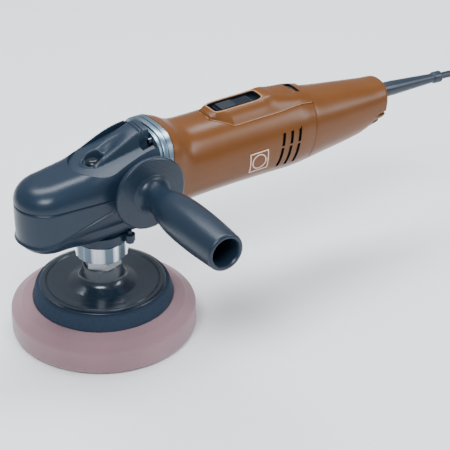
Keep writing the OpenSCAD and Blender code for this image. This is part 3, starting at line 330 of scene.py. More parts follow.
relief_rings = [(6.0, -8.0, 0), (6.9, -8.0, 0.5), (6.7, 14.0, 6.0), (4.3, 58.5, 1.5), (4.5, 60.2, 0.6),
                (5.3, 60.8, 0.6), (5.4, 68.4, 1.0), (4.3, 69.9, 0.5), (3.3, 69.9, 0)]
relief_mesh = skin_mesh("strain_relief", [(turned(rounded(relief_rings, 3), 48, RELIEF_AXIS), False, True)])
add_piece("strain_relief", relief_mesh, rubber, "housing", "cord_rubber", "cord_relief")
dress(finish("plug_rubber", (0.02, 0.022, 0.028), 0.5, grain=1200.0, bump=0.25), "plug_body")
dress(finish("tie_plastic", (0.03, 0.03, 0.034), 0.45), "cord_tie", "cord_clamp")
dress(finish("pin_metal", (0.75, 0.72, 0.66), 0.22, metal=1.0, mottle=0.03, bump=0.03), "plug_pins")

# ---------------------------------------------------------------------------
# Pale floor
# A matt sweep that the pad and the coil lie on.
# ---------------------------------------------------------------------------
floor_mesh = bpy.data.meshes.new("pale_floor")
floor_mesh.from_pydata([(-6, -6, 0), (6, -6, 0), (6, 6, 0), (-6, 6, 0)], [], [(0, 1, 2, 3)])
floor = bpy.data.objects.new("pale_floor", floor_mesh)
bpy.context.scene.collection.objects.link(floor)
sweep_paper = finish("sweep_paper", (0.93, 0.93, 0.93), 0.9, mottle=0.004, bump=0.02, specular=0.2)
floor_mesh.materials.append(sweep_paper)

# ---------------------------------------------------------------------------
# Foam pad
# A disc of open-cell polishing foam, cut with an upright wall and a sloping shoulder, and stuck
# to the cushion by its looped backing. The foam is matt, with small pores and a mauve dye.
# ---------------------------------------------------------------------------
pad_profile = rounded([
    (0.0, 0.15, 0), (76.5, 0.15, 0), (79.9, 3.0, 5.0), (79.9, 22.3, 3.5), (73.0, 26.4, 5.0),
    (70.5, 28.0, 2.0), (60.5, 30.8, 0), (0.0, 30.8, 0),
], 8)
pad_points = turned(pad_profile, 160)
pad_angle = np.arctan2(pad_points[..., 1], pad_points[..., 0])
# The wall is slightly out of round: five shallow lobes and thirteen shallower ones
pad_lobes = 0.5 + 0.5 * np.sin(5 * pad_angle + 0.7)
pad_ripple = 0.5 + 0.5 * np.sin(13 * pad_angle)
pad_wave = 1 - 0.0025 * pad_lobes - 0.0015 * pad_ripple
pad_points[..., :2] *= pad_wave[..., None]
pad_mesh = skin_mesh("foam_disc", [(pad_points, False, True)])
foam = finish("mauve_foam", (0.235, 0.128, 0.145), 0.93, mottle=0.10, grain=650.0, bump=0.55, depth=0.0006,
              spread=0.05, marks=22.0, specular=0.25)
foam.node_tree.nodes["Principled BSDF"].inputs["Sheen Weight"].default_value = 0.35
foam.node_tree.nodes["Principled BSDF"].inputs["Sheen Roughness"].default_value = 0.6
pad = add_piece("foam_disc", pad_mesh, foam, "spindle_unit", "pad_foam", "foam_pad")

# ---------------------------------------------------------------------------
# Cushion ring and backing plate
# A ring of black closed-cell foam is glued under a moulded nylon plate. The plate's dish flares up
# into a hub round the steel hexagon that screws on the spindle.
# ---------------------------------------------------------------------------
cushion_profile = rounded([
    (13.0, 31.1, 0), (60.6, 31.1, 0), (60.9, 31.8, 0.4), (57.6, 43.6, 2.2), (52.0, 44.2, 0), (13.0, 44.2, 0),
], 6)
cushion_foam = finish("speckled_foam", (0.012, 0.024, 0.044), 0.85, mottle=0.16, grain=420.0, bump=0.9,
                      depth=0.0007, marks=420.0, specular=0.3)
cushion_mesh = skin_mesh("cushion_ring", [(turned(cushion_profile, 144), False, True)])
add_piece("cushion_ring", cushion_mesh, cushion_foam, "spindle_unit", "cushion_foam", "backing_cushion")

plate_profile = rounded([
    (13.0, 43.9, 0), (54.2, 43.9, 0), (54.6, 44.9, 0.6), (52.0, 45.7, 1.2), (49.4, 45.6, 0.25),
    (48.9, 44.7, 0.25), (48.2, 44.7, 0.25), (47.8, 45.4, 0.3), (40.0, 44.6, 6.0), (30.0, 44.5, 6.0),
    (19.2, 49.5, 8.0), (17.0, 60.5, 6.0), (16.6, 62.9, 0.8), (12.0, 62.9, 0),
], 7)
plate_plastic = finish("plate_nylon", (0.008, 0.016, 0.028), 0.24, mottle=0.05, grain=1800.0, bump=0.05,
                       coat=0.25)
plate_mesh = skin_mesh("backing_dish", [(turned(plate_profile, 144), False, True)])
add_piece("backing_dish", plate_mesh, plate_plastic, "spindle_unit", "plate_plastic", "backing_plate")

# ---------------------------------------------------------------------------
# Spindle parts
# The hexagon and the spindle are plain ground steel; the collar above them is plated, with narrow
# flats round it, and its colour carries painted reflections: dark and light upright bands.
# ---------------------------------------------------------------------------
ground_steel = finish("ground_steel", (0.50, 0.52, 0.54), 0.28, metal=1.0, mottle=0.08, grain=700.0,
                      bump=0.06)
dress(ground_steel, "hub_insert", "spindle", "spindle_gear", "countershaft", "bevel_gear", "bevel_pinion",
      "lock_ring", "armature_shaft", "bridge_screws", "handle_stud")
collar_profile = rounded([
    (9.2, 72.75, 0), (21.4, 72.75, 0), (22.5, 73.7, 0.4), (22.5, 88.4, 0.5), (21.4, 89.5, 0), (9.2, 89.5, 0),
], 4)
plated = finish("plated_steel", (0.86, 0.88, 0.90), 0.10, metal=1.0, mottle=0.02, grain=300.0, bump=0.02)
# Painted reflections: a noise across the plan, the same at every height, sets the base colour between dark
# and light upright bands.
painted_reflection_tree = plated.node_tree
painted_reflection_place = painted_reflection_tree.nodes.new("ShaderNodeVectorMath")
painted_reflection_place.operation = "MULTIPLY"
painted_reflection_place.inputs[1].default_value = (1.0, 1.0, 0.0)
painted_reflection_coords = painted_reflection_tree.nodes.new("ShaderNodeTexCoord").outputs["Object"]
painted_reflection_tree.links.new(painted_reflection_coords, painted_reflection_place.inputs[0])
painted_reflection_noise = noise_node(painted_reflection_tree, painted_reflection_place.outputs[0], 75.0, 1.0)
painted_reflection_ramp = painted_reflection_tree.nodes.new("ShaderNodeValToRGB")
painted_reflection_ramp.color_ramp.elements[0].position = 0.42
painted_reflection_ramp.color_ramp.elements[0].color = (0.09, 0.12, 0.15, 1.0)
painted_reflection_ramp.color_ramp.elements[1].position = 0.56
painted_reflection_ramp.color_ramp.elements[1].color = (0.86, 0.90, 0.94, 1.0)
painted_reflection_tree.links.new(painted_reflection_noise, painted_reflection_ramp.inputs["Fac"])
painted_reflection_shader = painted_reflection_tree.nodes["Principled BSDF"]
painted_reflection_tree.links.new(painted_reflection_ramp.outputs["Color"], painted_reflection_shader.inputs["Base Color"])
collar_mesh = skin_mesh("plated_collar", [(turned(collar_profile, 24), False, True)])
add_piece("plated_collar", collar_mesh, plated, "spindle_unit", "bright_steel", "spindle_collar",
          smooth=12.0)

# ---------------------------------------------------------------------------
# Hidden machinery
# Bearings, windings, laminations, brushes and springs inside the castings, in their own metals.
# ---------------------------------------------------------------------------
bearing_steel = finish("bearing_steel", (0.62, 0.63, 0.65), 0.2, metal=1.0, mottle=0.04)
dress(bearing_steel, "lower_bearing", "upper_bearing", "counter_lower_bearing", "counter_top_bearing",
      "front_motor_bearing", "rear_motor_bearing")
die_cast = finish("die_cast_alloy", (0.46, 0.47, 0.49), 0.5, metal=0.9, mottle=0.1, grain=500.0, bump=0.3)
dress(die_cast, "gear_bridge")
spring_wire = finish("spring_wire", (0.28, 0.29, 0.31), 0.35, metal=1.0)
dress(spring_wire, "lock_spring", "brush_springs", "spindle_circlip")
copper = finish("enamelled_copper", (0.50, 0.20, 0.07), 0.4, metal=0.7, mottle=0.2, grain=900.0, bump=0.5)
dress(copper, "armature_windings", "stator_windings", "commutator")
stacked_sheet = finish("stacked_sheet", (0.30, 0.31, 0.33), 0.45, metal=0.9, mottle=0.12)
dress(stacked_sheet, "armature_core", "stator_core")
dress(finish("graphite", (0.02, 0.02, 0.022), 0.6), "brush_left", "brush_right")
dress(finish("black_nylon", (0.02, 0.021, 0.024), 0.5), "cooling_fan", "air_baffle", "brush_carrier",
      "bearing_cup", "switch_body", "speed_module")

# ---------------------------------------------------------------------------
# Gear head
# A die-cast case and a hood over it, both in the same satin slate-blue enamel. The case's flank has
# a crease that climbs from the nose towards the motor, and tapers in to the round neck below.
# ---------------------------------------------------------------------------
head_enamel = finish("slate_enamel", (0.010, 0.021, 0.038), 0.30, mottle=0.05, grain=2200.0, bump=0.07,
                     spread=0.10, specular=0.32)
dress(head_enamel, "bearing_flange", "flange_screws")
NOSE_X = -49.3
NOSE_R = 28.0
SEAM_Z = 141.0
MOTOR_Z = 139.0
JOINT_X = 35.0
JOINT_HALF = 37.0
JOINT_TALL = 39.5
JOINT_MIDDLE = 142.5
CASE_BOTTOM_Z = 98.4
RAKE = 0.2


def joint_front(z):
    """X of the raked joint face at height z."""
    return JOINT_X + RAKE * (z - MOTOR_Z)


def joint_half_width(z):
    """Half width of the joint's superellipse, exponent 3, at height z."""
    up = np.clip(np.abs(z - JOINT_MIDDLE) / JOINT_TALL, 0.0, 0.985)
    return JOINT_HALF * (1 - up**3) ** (1 / 3)


def head_outline(u, inset, z):
    """A point of the head's plan at u, 0 at the near rear corner, 0.5 at the nose tip and 1 at the far
    rear corner: straight sides joined by the nose's half circle, all drawn in by inset."""
    side = 0.36
    rear = joint_front(z)
    wide = np.maximum(joint_half_width(z), 30.0) - inset
    wide = np.where(z > SEAM_Z, joint_half_width(z), wide)
    near = np.clip(u / side, 0, 1)
    far = np.clip((1 - u) / side, 0, 1)
    along = np.minimum(near, far)
    sign = np.where(u < 0.5, -1.0, 1.0)
    turn = np.clip((u - side) / (1 - 2 * side), 0, 1) * np.pi
    radius = NOSE_R - inset
    x_side = rear + (NOSE_X - rear) * along
    half = wide + (radius - wide) * along
    x_nose = NOSE_X - radius * np.sin(turn)
    y_nose = -radius * np.cos(turn)
    on_nose = (u >= side) & (u <= 1 - side)
    return np.where(on_nose, x_nose, x_side), np.where(on_nose, y_nose, sign * half)


head_u = np.linspace(0, 1, 161)[:, None]
case_v = np.linspace(0, 1, 121)[None, :]
# The crease height along the flank, and the share of the profile that is the upright wall above it
flank_x, _ = head_outline(head_u, 0.0, SEAM_Z)
climb = np.clip((flank_x - NOSE_X + 20) / 85.0, 0, 1)
crease_z = 108.0 + 30.5 * climb**1.15
flank = np.clip((flank_x - NOSE_X) / 35.0, 0, 1)
flank = flank * flank * (3 - 2 * flank)
WALL_SHARE = 0.45
wall_v = np.clip(case_v / WALL_SHARE, 0, 1)
under_v = np.clip((case_v - WALL_SHARE) / (1 - WALL_SHARE), 0, 1)
under_drop = (crease_z - CASE_BOTTOM_Z) * np.sin(under_v * np.pi / 2)
case_z = SEAM_Z - (SEAM_Z - crease_z) * wall_v - under_drop
nose_inset = 12.5 * (1 - np.cos(under_v * np.pi / 2)) + 0.8 * wall_v**3
flank_inset = 0.7 * wall_v**2 + 1.0 * np.clip(under_v * 12, 0, 1) + 2.0 * under_v + 8.0 * under_v**5
bead = np.exp(-(((case_v - WALL_SHARE) / 0.022) ** 2))
ledge = 1.3 * np.clip((case_v - WALL_SHARE) / 0.05, 0, 1)
case_inset = nose_inset * (1 - flank) + flank_inset * flank + ledge - 1.5 * bead
# The upper edge is rounded in to the seam
case_inset = case_inset + 1.5 * np.clip(1 - case_v / 0.03, 0, 1) ** 2
x_in, y_in = head_outline(head_u, case_inset, case_z)
case_points = np.stack([x_in, y_in, case_z], axis=-1) * MM
floor_share = np.linspace(0, 1, 9)[None, :]
case_bottom = np.repeat(case_points[:, -1:, :], 9, axis=1)
case_bottom[..., 1] *= 1 - floor_share
case_mesh = skin_mesh("gear_case_skin", [(case_points, False, False), (case_bottom, False, False)])
add_piece("gear_case_skin", case_mesh, head_enamel, "housing", "head_paint", "gear_case")


def smooth_step(value, low, high):
    """0 below low, 1 above high, and 3t^2 - 2t^3 between."""
    t = np.clip((value - low) / (high - low), 0, 1)
    return t * t * (3 - 2 * t)


HOOD_REAR = 42.6
HOOD_EDGE_Z = SEAM_Z + 0.5


def hood_half(x):
    """Half width of the hood at its lower edge."""
    return NOSE_R + (JOINT_HALF - NOSE_R) * np.clip((x - NOSE_X) / (HOOD_REAR - NOSE_X), 0, 1)


def hood_height(x, y):
    """Height of the hood: a rounded shoulder of reach 20 round the nose, which turns into the joint's
    superellipse towards the motor."""
    nose_depth = NOSE_R - np.hypot(np.minimum(x - NOSE_X, 0.0), y)
    depth = np.where(x < NOSE_X, nose_depth, hood_half(x) - np.abs(y))
    rise = 18.4 + 0.10 * np.clip(x + 46, -40, 100)
    shoulder = HOOD_EDGE_Z + rise * (1 - np.clip(1 - depth / 20.0, 0, 1) ** 2.2) ** (1 / 2.2)
    arch = HOOD_EDGE_Z + 40.0 * (1 - np.clip(np.abs(y) / hood_half(x), 0, 1) ** 3) ** (1 / 3)
    blend = smooth_step(x, -25.0, 40.0)
    return shoulder * (1 - blend) + arch * blend


def loop_point(u, straight, rear, front, radius, rear_half):
    """Plan point of a U: a straight side from the rear to front, a half circle of radius round its tip."""
    along = np.minimum(np.clip(u / straight, 0, 1), np.clip((1 - u) / straight, 0, 1))
    turn = np.clip((u - straight) / (1 - 2 * straight), 0, 1) * np.pi
    on_side = (u < straight) | (u > 1 - straight)
    x = np.where(on_side, rear + (front - rear) * along, front - radius * np.sin(turn))
    side = np.where(u < 0.5, -1.0, 1.0) * (rear_half + (radius - rear_half) * along)
    return x, np.where(on_side, side, -radius * np.cos(turn))


CUT_FRONT = 2.0
CUT_R = 28.0
hood_u = np.linspace(0, 1, 281)[:, None]
edge_x, edge_y = loop_point(hood_u, 0.36, HOOD_REAR, NOSE_X, NOSE_R, JOINT_HALF)
cut_x, cut_y = loop_point(hood_u, 0.24, HOOD_REAR, CUT_FRONT, CUT_R, CUT_R)
hood_v = np.linspace(0, 1, 65)[None, :] ** 1.5
hood_x = edge_x * (1 - hood_v) + cut_x * hood_v
hood_y = edge_y * (1 - hood_v) + cut_y * hood_v
hood_z = hood_height(hood_x, hood_y)
hood_x = np.minimum(hood_x, joint_front(hood_z) - 0.1)
hood_points = np.stack([hood_x, hood_y, hood_z], axis=-1)
# The lower edge is rounded and turns in to the seam; the cut's edge is rounded and turns down
seam_in = 1 - np.array([1.6, 1.5, 1.1, 0.25])[None, :] / 34.0
seam_low = np.array([-0.1, -0.1, 0.0, 0.1])[None, :]
hood_skirt = np.stack([NOSE_X + (hood_x[:, :1] - NOSE_X) * seam_in, hood_y[:, :1] * seam_in,
                       hood_z[:, :1] + seam_low], axis=-1)
hood_skirt[..., 0] = np.minimum(hood_skirt[..., 0], hood_x[:, :1])
lip_drop = np.array([0.12, 0.45, 0.95, 7.0])[None, :, None]
lip_in = np.array([0.42, 0.78, 0.95, 0.95])[None, :, None]
lip_way = np.stack([np.maximum(CUT_FRONT - cut_x, 0), -cut_y, 0 * cut_y], axis=-1)
lip_way = lip_way / np.linalg.norm(lip_way, axis=-1, keepdims=True)
hood_lip = hood_points[:, -1:, :] + lip_way * lip_in + np.array([0.0, 0.0, -1.0]) * lip_drop
hood_all = np.concatenate([hood_skirt, hood_points, hood_lip], axis=1) * MM
hood_mesh = skin_mesh("hood_skin", [(hood_all, False, False)])
add_piece("hood_skin", hood_mesh, head_enamel, "housing", "head_plastic", "head_cover")

# ---------------------------------------------------------------------------
# Top panel
# A plastic panel inside the hood's opening, a shade lighter, carries a ramp up to the joint ring,
# with a scooped channel for the thumb and a round well for the spindle lock.
# ---------------------------------------------------------------------------
panel_plastic = finish("slate_panel", (0.012, 0.024, 0.041), 0.38, mottle=0.05, grain=2200.0, bump=0.08,
                       specular=0.32)
WELL_X = -5.0
WELL_R = 8.6
panel_x, panel_y = np.meshgrid(np.arange(-27.0, HOOD_REAR, 0.45), np.arange(-28.8, 28.9, 0.45), indexing="ij")
panel_floor = 163.0 + 0.235 * (panel_x + 8) - 4.0 * (panel_y / 28.0) ** 2
ramp_half = 8.4 + 3.4 * np.clip((panel_x + 11) / 50.0, 0, 1)
ramp_top = 163.0 + 21.6 * np.clip((panel_x + 12) / 48.0, 0, 1) ** 0.92 - 0.010 * panel_y**2
ramp_side = panel_floor + 2.3 * (ramp_half + 3.2 - np.abs(panel_y))
ramp_end = 166.0 + 2.6 * (panel_x + 9.0)


def soft_least(a, b, blend):
    """The smaller of a and b, with the corner between them rounded over about blend."""
    return 0.5 * (a + b - np.sqrt((a - b) ** 2 + blend**2))


ramp = soft_least(soft_least(ramp_top, ramp_side, 1.0), ramp_end, 2.5)
scoop = np.exp(-((panel_y / 4.8) ** 2)) * smooth_step(panel_x, -9, 8) * (1 - smooth_step(panel_x, 8, 28))
panel_z = np.maximum(ramp - 5.0 * scoop, panel_floor)
well = np.hypot((panel_x - WELL_X) / 1.1, panel_y)
collar_lip = np.exp(-(((well - WELL_R - 0.9) / 0.9) ** 2)) * (1 - smooth_step(panel_x, -4, 2))
sink = smooth_step(WELL_R - well, 0, 1.3)
panel_z = (panel_z + 0.9 * collar_lip) * (1 - sink) + 160.9 * sink
rear_groove = np.exp(-(((panel_x - 34.0) / 0.55) ** 2)) + np.exp(-(((panel_x - 37.2) / 0.5) ** 2))
screw_pocket = smooth_step(np.abs(panel_y), 11.6, 12.6) * (1 - smooth_step(np.abs(panel_y), 18.6, 19.8))
panel_z = panel_z - 5.0 * smooth_step(panel_x, 31.8, 33.2) * screw_pocket
panel_z = panel_z - 0.9 * rear_groove * smooth_step(panel_z - panel_floor, 2.0, 4.0)
panel_points = np.stack([np.minimum(panel_x, joint_front(panel_z) - 0.15), panel_y, panel_z], axis=-1) * MM
inside = (np.hypot(np.minimum(panel_x - CUT_FRONT, 0), panel_y) < CUT_R + 0.9).ravel()
panel_quads = grid_faces(*panel_x.shape)
panel_quads = panel_quads[inside[panel_quads].all(axis=1)]
panel_mesh = bpy.data.meshes.new("thumb_panel")
panel_mesh.from_pydata(panel_points.reshape(-1, 3).tolist(), [], panel_quads[:, ::-1].tolist())
add_piece("thumb_panel", panel_mesh, panel_plastic, "housing", "head_plastic", "top_panel", smooth=50.0)

# ---------------------------------------------------------------------------
# Spindle lock button
# A round domed push button on a steel pin.
# ---------------------------------------------------------------------------
button_profile = rounded([
    (0.0, 153.0, 0), (6.6, 153.0, 0), (6.6, 162.3, 2.4), (4.2, 164.6, 3.5), (0.0, 165.3, 0),
], 6)
button_place = Matrix.Translation((WELL_X * MM, 0.0, 0.0))
button_mesh = skin_mesh("lock_dome", [(turned(button_profile, 64, button_place), False, True)])
button_gloss = finish("button_gloss", (0.005, 0.010, 0.017), 0.22, mottle=0.04, specular=0.35)
add_piece("lock_dome", button_mesh, button_gloss, "lock_pin", "head_plastic", "lock_button")

# ---------------------------------------------------------------------------
# Joint ring and its screws
# A turned alloy ring between head and motor housing, with a stepped front edge. Its faces are
# raked, so that each section is a superellipse sheared along the motor axis.
# ---------------------------------------------------------------------------
def superellipse_rings(stations, sides=160):
    """Rings of points; each station is (x, half width, half height, middle height, exponent), and
    a point's x grows by the rake times its height above the motor axis."""
    station = np.array(stations, float)[:, :, None]
    angle = np.linspace(0, 2 * np.pi, sides, endpoint=False)[None, :]
    power = 2 / station[:, 4]
    y = station[:, 1] * np.sign(np.cos(angle)) * np.abs(np.cos(angle)) ** power
    z = station[:, 3] + station[:, 2] * np.sign(np.sin(angle)) * np.abs(np.sin(angle)) ** power
    return np.stack([station[:, 0] + RAKE * (z - MOTOR_Z), y, z], axis=-1) * MM


brushed = finish("brushed_alloy", (0.25, 0.34, 0.42), 0.30, metal=1.0, mottle=0.05, grain=500.0, bump=0.08)
# Each step of the ring's outside: how far along it is, and how far in from the full size
ring_steps = [
    (35.05, 1.95), (35.2, 1.55), (37.9, 1.55), (38.1, 0.35), (38.5, 0.05), (42.0, 0.0), (42.2, 0.65),
    (42.9, 0.65), (43.1, 0.0), (47.2, 0.0), (47.6, 0.35), (48.0, 0.65),
]
RING_HALF = 36.95
RING_TALL = 39.45
ring_outside = [(x, RING_HALF - inset, RING_TALL - inset, JOINT_MIDDLE, 3) for x, inset in ring_steps]
ring_bore = (20, 22, JOINT_MIDDLE, 3)
ring_stations = [(35.05, *ring_bore), *ring_outside, (48.0, *ring_bore)]
ring_mesh = skin_mesh("joint_band", [(superellipse_rings(ring_stations), False, True)])
add_piece("joint_band", ring_mesh, brushed, "housing", "bright_ring", "joint_ring")
# The screws take the same plated steel with its painted reflection bands.
dress(plated, "joint_screws")

# ---------------------------------------------------------------------------
# Motor housing
# Orange-brown moulded nylon, waisted behind the joint ring. Three raked air slots on each flank, each
# split by a bridge, are left out of the skin. Their edges turn in through the wall to a dark sheet; the walls
# and the sheet are painted shade.
# ---------------------------------------------------------------------------
body_nylon = finish("brown_nylon", (0.128, 0.043, 0.0075), 0.30, mottle=0.05, grain=1500.0, bump=0.06,
                    specular=0.32)
SLOT_X = (162.9, 171.5, 180.1)
SLOT_W = 3.0
SLOT_SPANS = ((119.0, 137.4), (139.6, 151.5))
SLOT_ZONE = (150.0, 195.0)
SLOT_INWARD = 0.95
housing_knots = np.array([
    [48.0, 36.9, 39.4, 142.5, 3.0], [56, 36.0, 38.0, 141.5, 2.8], [66, 34.6, 35.4, 139.8, 2.4],
    [78, 34.2, 34.6, 139.0, 2.2], [110, 33.6, 34.0, 139.0, 2.2], [150, 33.6, 34.0, 138.5, 2.2],
    [180, 33.4, 34.4, 137.8, 2.2], [190, 32.9, 33.9, 137.4, 2.2], [200, 31.7, 32.7, 136.4, 2.2],
])
housing_curve = smooth_path(housing_knots, 9)
slot_edges = np.array([x + side for x in SLOT_X for side in (0.0, SLOT_W)])
plain = housing_curve[np.abs(housing_curve[:, :1] - slot_edges).min(axis=1) > 0.6]
slot_columns = [np.interp(slot_edges, housing_curve[:, 0], column) for column in housing_curve.T]
slot_stations = np.stack(slot_columns, axis=-1)
housing_stations = np.concatenate([plain, slot_stations])
housing_stations = housing_stations[np.argsort(housing_stations[:, 0], kind="stable")]
housing_stations = np.concatenate([[[48.0, 34.5, 37.0, 142.5, 3.0]], housing_stations,
                                   [[200.35, 31.2, 32.2, 136.4, 2.2], [200.35, 28.5, 29.5, 136.4, 2.2]]])
housing_mesh = skin_mesh("motor_shell", [(superellipse_rings(housing_stations), False, True)])


def cut_slots(mesh):
    """Leaves out the quads between a slot's two stations, within its two ranges of height, turns the
    edges inwards by 5% of the way to the motor axis, and closes each slot with a dark sheet of painted shade
    there."""
    work = bmesh.new()
    work.from_mesh(mesh)
    gone = []
    for face in work.faces:
        x, _, z = face.calc_center_median() / MM
        x -= RAKE * (z - MOTOR_Z)
        in_slot = any(start < x < start + SLOT_W for start in SLOT_X)
        if in_slot and any(low < z < high for low, high in SLOT_SPANS):
            gone.append(face)
    bmesh.ops.delete(work, geom=gone, context="FACES")
    rims = [edge for edge in work.edges if edge.is_boundary
            and all(SLOT_ZONE[0] * MM < vert.co.x < SLOT_ZONE[1] * MM for vert in edge.verts)]
    walls = bmesh.ops.extrude_edge_only(work, edges=rims)["geom"]
    for vert in walls:
        if isinstance(vert, bmesh.types.BMVert):
            vert.co.y *= SLOT_INWARD
            vert.co.z = MOTOR_Z * MM + (vert.co.z - MOTOR_Z * MM) * SLOT_INWARD
    loops = [item for item in walls if isinstance(item, bmesh.types.BMEdge) and item.is_boundary]
    shade_sheets = bmesh.ops.holes_fill(work, edges=loops, sides=0)["faces"]
    # The slot walls and the closing sheets take the dark second material: painted shade.
    for face in shade_sheets + [item for item in walls if isinstance(item, bmesh.types.BMFace)]:
        face.material_index = 1
    work.to_mesh(mesh)
    work.free()


cut_slots(housing_mesh)
add_piece("motor_shell", housing_mesh, body_nylon, "housing", "body_plastic", "motor_housing")
housing_mesh.materials.append(finish("slot_shadow", (0.004, 0.004, 0.005), 0.7, specular=0.1))

# ---------------------------------------------------------------------------
# Switch plate, slider and speed dial
# A moulded plate lies flush on the housing's back and swells up round the slide switch, with a
# rim round the switch's opening and a window for the dial at its rear end. The rim and the seam
# round the plate are thin beads painted a lighter tan as painted highlights.
# ---------------------------------------------------------------------------
def plate_half(x):
    """Half width of the plate, narrow at its front end."""
    return np.interp(x, [104, 108, 112, 122, 170, 207], [8.0, 11.5, 14.0, 21.0, 21.0, 19.0])


def plate_height(x, y):
    """Height of the plate: the housing's section at x, plus a swelling that dies out at the edges."""
    flat = x - RAKE * 36.0
    columns = housing_curve[:, 1:].T
    half, tall, middle, power = (np.interp(flat, housing_curve[:, 0], column) for column in columns)
    base = middle + tall * (1 - np.clip(np.abs(y) / half, 0, 1) ** power) ** (1 / power)
    knots = smooth_path(np.array([
        [104, 0.4], [108, 2.6], [113, 4.6], [130, 5.0], [150, 5.0], [158, 5.4], [163, 6.3], [168, 6.2],
        [174, 4.8], [184, 3.2], [195, 2.2], [207, 1.6],
    ]), 6)
    lift = np.interp(x, knots[:, 0], knots[:, 1])
    level = middle + tall + lift - 0.010 * y * y
    edge = plate_half(x) - 0.4
    flank_share = np.clip((edge - np.abs(y)) / (edge - 9.0), 0, 1)
    flank_share = 1 - (1 - flank_share) ** 1.5
    return base + 0.25 + np.maximum(level - base, 0) * flank_share


HOLE_X = (111.2, 159.5)
HOLE_Y = 9.0
DIAL_X = (191.5, 199.0)
DIAL_Y = 8.5
WINDOW_SHARE = 0.44
plate_x = np.unique(np.concatenate([np.linspace(104.2, 206.4, 120), HOLE_X, DIAL_X]))
plate_t = np.unique(np.concatenate([np.linspace(-1, 1, 61), [-WINDOW_SHARE, WINDOW_SHARE]]))
plate_gx = np.repeat(plate_x[:, None], len(plate_t), axis=1)
# Rows inside a hole's length are drawn so that one column lies on its side
hole_side = np.where(plate_gx > 180, DIAL_Y, HOLE_Y)
inner = np.abs(plate_t)[None, :] <= WINDOW_SHARE
beyond = (np.abs(plate_t) - WINDOW_SHARE) / (1 - WINDOW_SHARE)
outer = np.sign(plate_t) * (hole_side + beyond * (plate_half(plate_gx) - hole_side))
plate_gy = np.where(inner, plate_t / WINDOW_SHARE * hole_side, outer)
plate_gz = plate_height(plate_gx, plate_gy)
plate_points = np.stack([plate_gx, plate_gy, plate_gz], axis=-1)
near_edge = plate_points[:, :1] - [0, -0.4, 1.2]
far_edge = plate_points[:, -1:] - [0, 0.4, 1.2]
cap_points = np.concatenate([near_edge, plate_points, far_edge], axis=1) * MM
cap_mesh = skin_mesh("switch_cap", [(cap_points, False, False)])


def open_windows(mesh):
    """Leaves out the faces over the slider and the dial, turns the edges down 4 mm and closes each
    window with a floor. The new faces take the mesh's second material."""
    work = bmesh.new()
    work.from_mesh(mesh)
    gone = []
    for face in work.faces:
        x, y, _ = face.calc_center_median() / MM
        over_slider = HOLE_X[0] < x < HOLE_X[1] and abs(y) < HOLE_Y
        over_dial = DIAL_X[0] < x < DIAL_X[1] and abs(y) < DIAL_Y
        if over_slider or over_dial:
            gone.append(face)
    bmesh.ops.delete(work, geom=gone, context="FACES")
    margin = 1.0
    first = (HOLE_X[0] - margin) * MM
    last = (DIAL_X[1] + margin) * MM
    side = (HOLE_Y + 0.2) * MM
    rims = [edge for edge in work.edges if edge.is_boundary
            and all(abs(vert.co.y) < side and first < vert.co.x < last for vert in edge.verts)]
    walls = bmesh.ops.extrude_edge_only(work, edges=rims)["geom"]
    low = [item for item in walls if isinstance(item, bmesh.types.BMVert)]
    for vert in low:
        vert.co.z -= 4.0 * MM
    loops = [item for item in walls if isinstance(item, bmesh.types.BMEdge) and item.is_boundary]
    floors = bmesh.ops.holes_fill(work, edges=loops, sides=0)["faces"]
    for face in floors + [item for item in walls if isinstance(item, bmesh.types.BMFace)]:
        face.material_index = 1
    work.to_mesh(mesh)
    work.free()


open_windows(cap_mesh)
add_piece("switch_cap", cap_mesh, body_nylon, "housing", "body_plastic", "switch_plate", smooth=35.0)
cap_mesh.materials.append(button_gloss)


def bead(path, radius, sides=10):
    """Points of a closed round bead along a path of points."""
    ahead = np.roll(path, -1, axis=0) - np.roll(path, 1, axis=0)
    ahead /= np.linalg.norm(ahead, axis=1, keepdims=True)
    across = np.cross(ahead, [0.0, 0.0, 1.0])
    across /= np.linalg.norm(across, axis=1, keepdims=True)
    upward = np.cross(across, ahead)
    angle = np.linspace(0, 2 * np.pi, sides, endpoint=False)[None, :, None]
    return path[:, None] + radius * (np.cos(angle) * across[:, None] + np.sin(angle) * upward[:, None])


rim_turn = np.linspace(0, 2 * np.pi, 97)[:-1]
rim_x = 135.35 + 24.75 * np.sign(np.cos(rim_turn)) * np.abs(np.cos(rim_turn)) ** 0.32
rim_y = 9.6 * np.sign(np.sin(rim_turn)) * np.abs(np.sin(rim_turn)) ** 0.32
rim_path = np.stack([rim_x, rim_y, plate_height(rim_x, rim_y) + 0.1], axis=-1)
seam_x = np.concatenate([np.linspace(104.4, 204, 60), np.linspace(204, 104.4, 60)])
seam_y = np.where(np.arange(120) < 60, -1, 1) * plate_half(seam_x)
seam_path = np.stack([seam_x, seam_y, plate_height(seam_x, seam_y) + 0.05], axis=-1)
# The beads take a lighter tan than the nylon: painted highlights along the rim and the seam.
painted_highlight_tan = finish("painted_highlight_tan", (0.36, 0.17, 0.07), 0.35, mottle=0.05, grain=1500.0, bump=0.05)
rim_bead = bead(rim_path, 0.75) * MM
seam_bead = bead(seam_path, 0.28, 8) * MM
rim_mesh = skin_mesh("plate_edges", [(rim_bead, True, True), (seam_bead, True, True)])
add_piece("plate_edges", rim_mesh, painted_highlight_tan, "housing", "body_plastic")

slider_gloss = finish("dark_slider", (0.008, 0.014, 0.022), 0.20, coat=0.35)
dress(slider_gloss, "switch_slider")
dress(finish("dial_rubber", (0.03, 0.03, 0.034), 0.4, grain=1200.0, bump=0.2), "speed_dial")

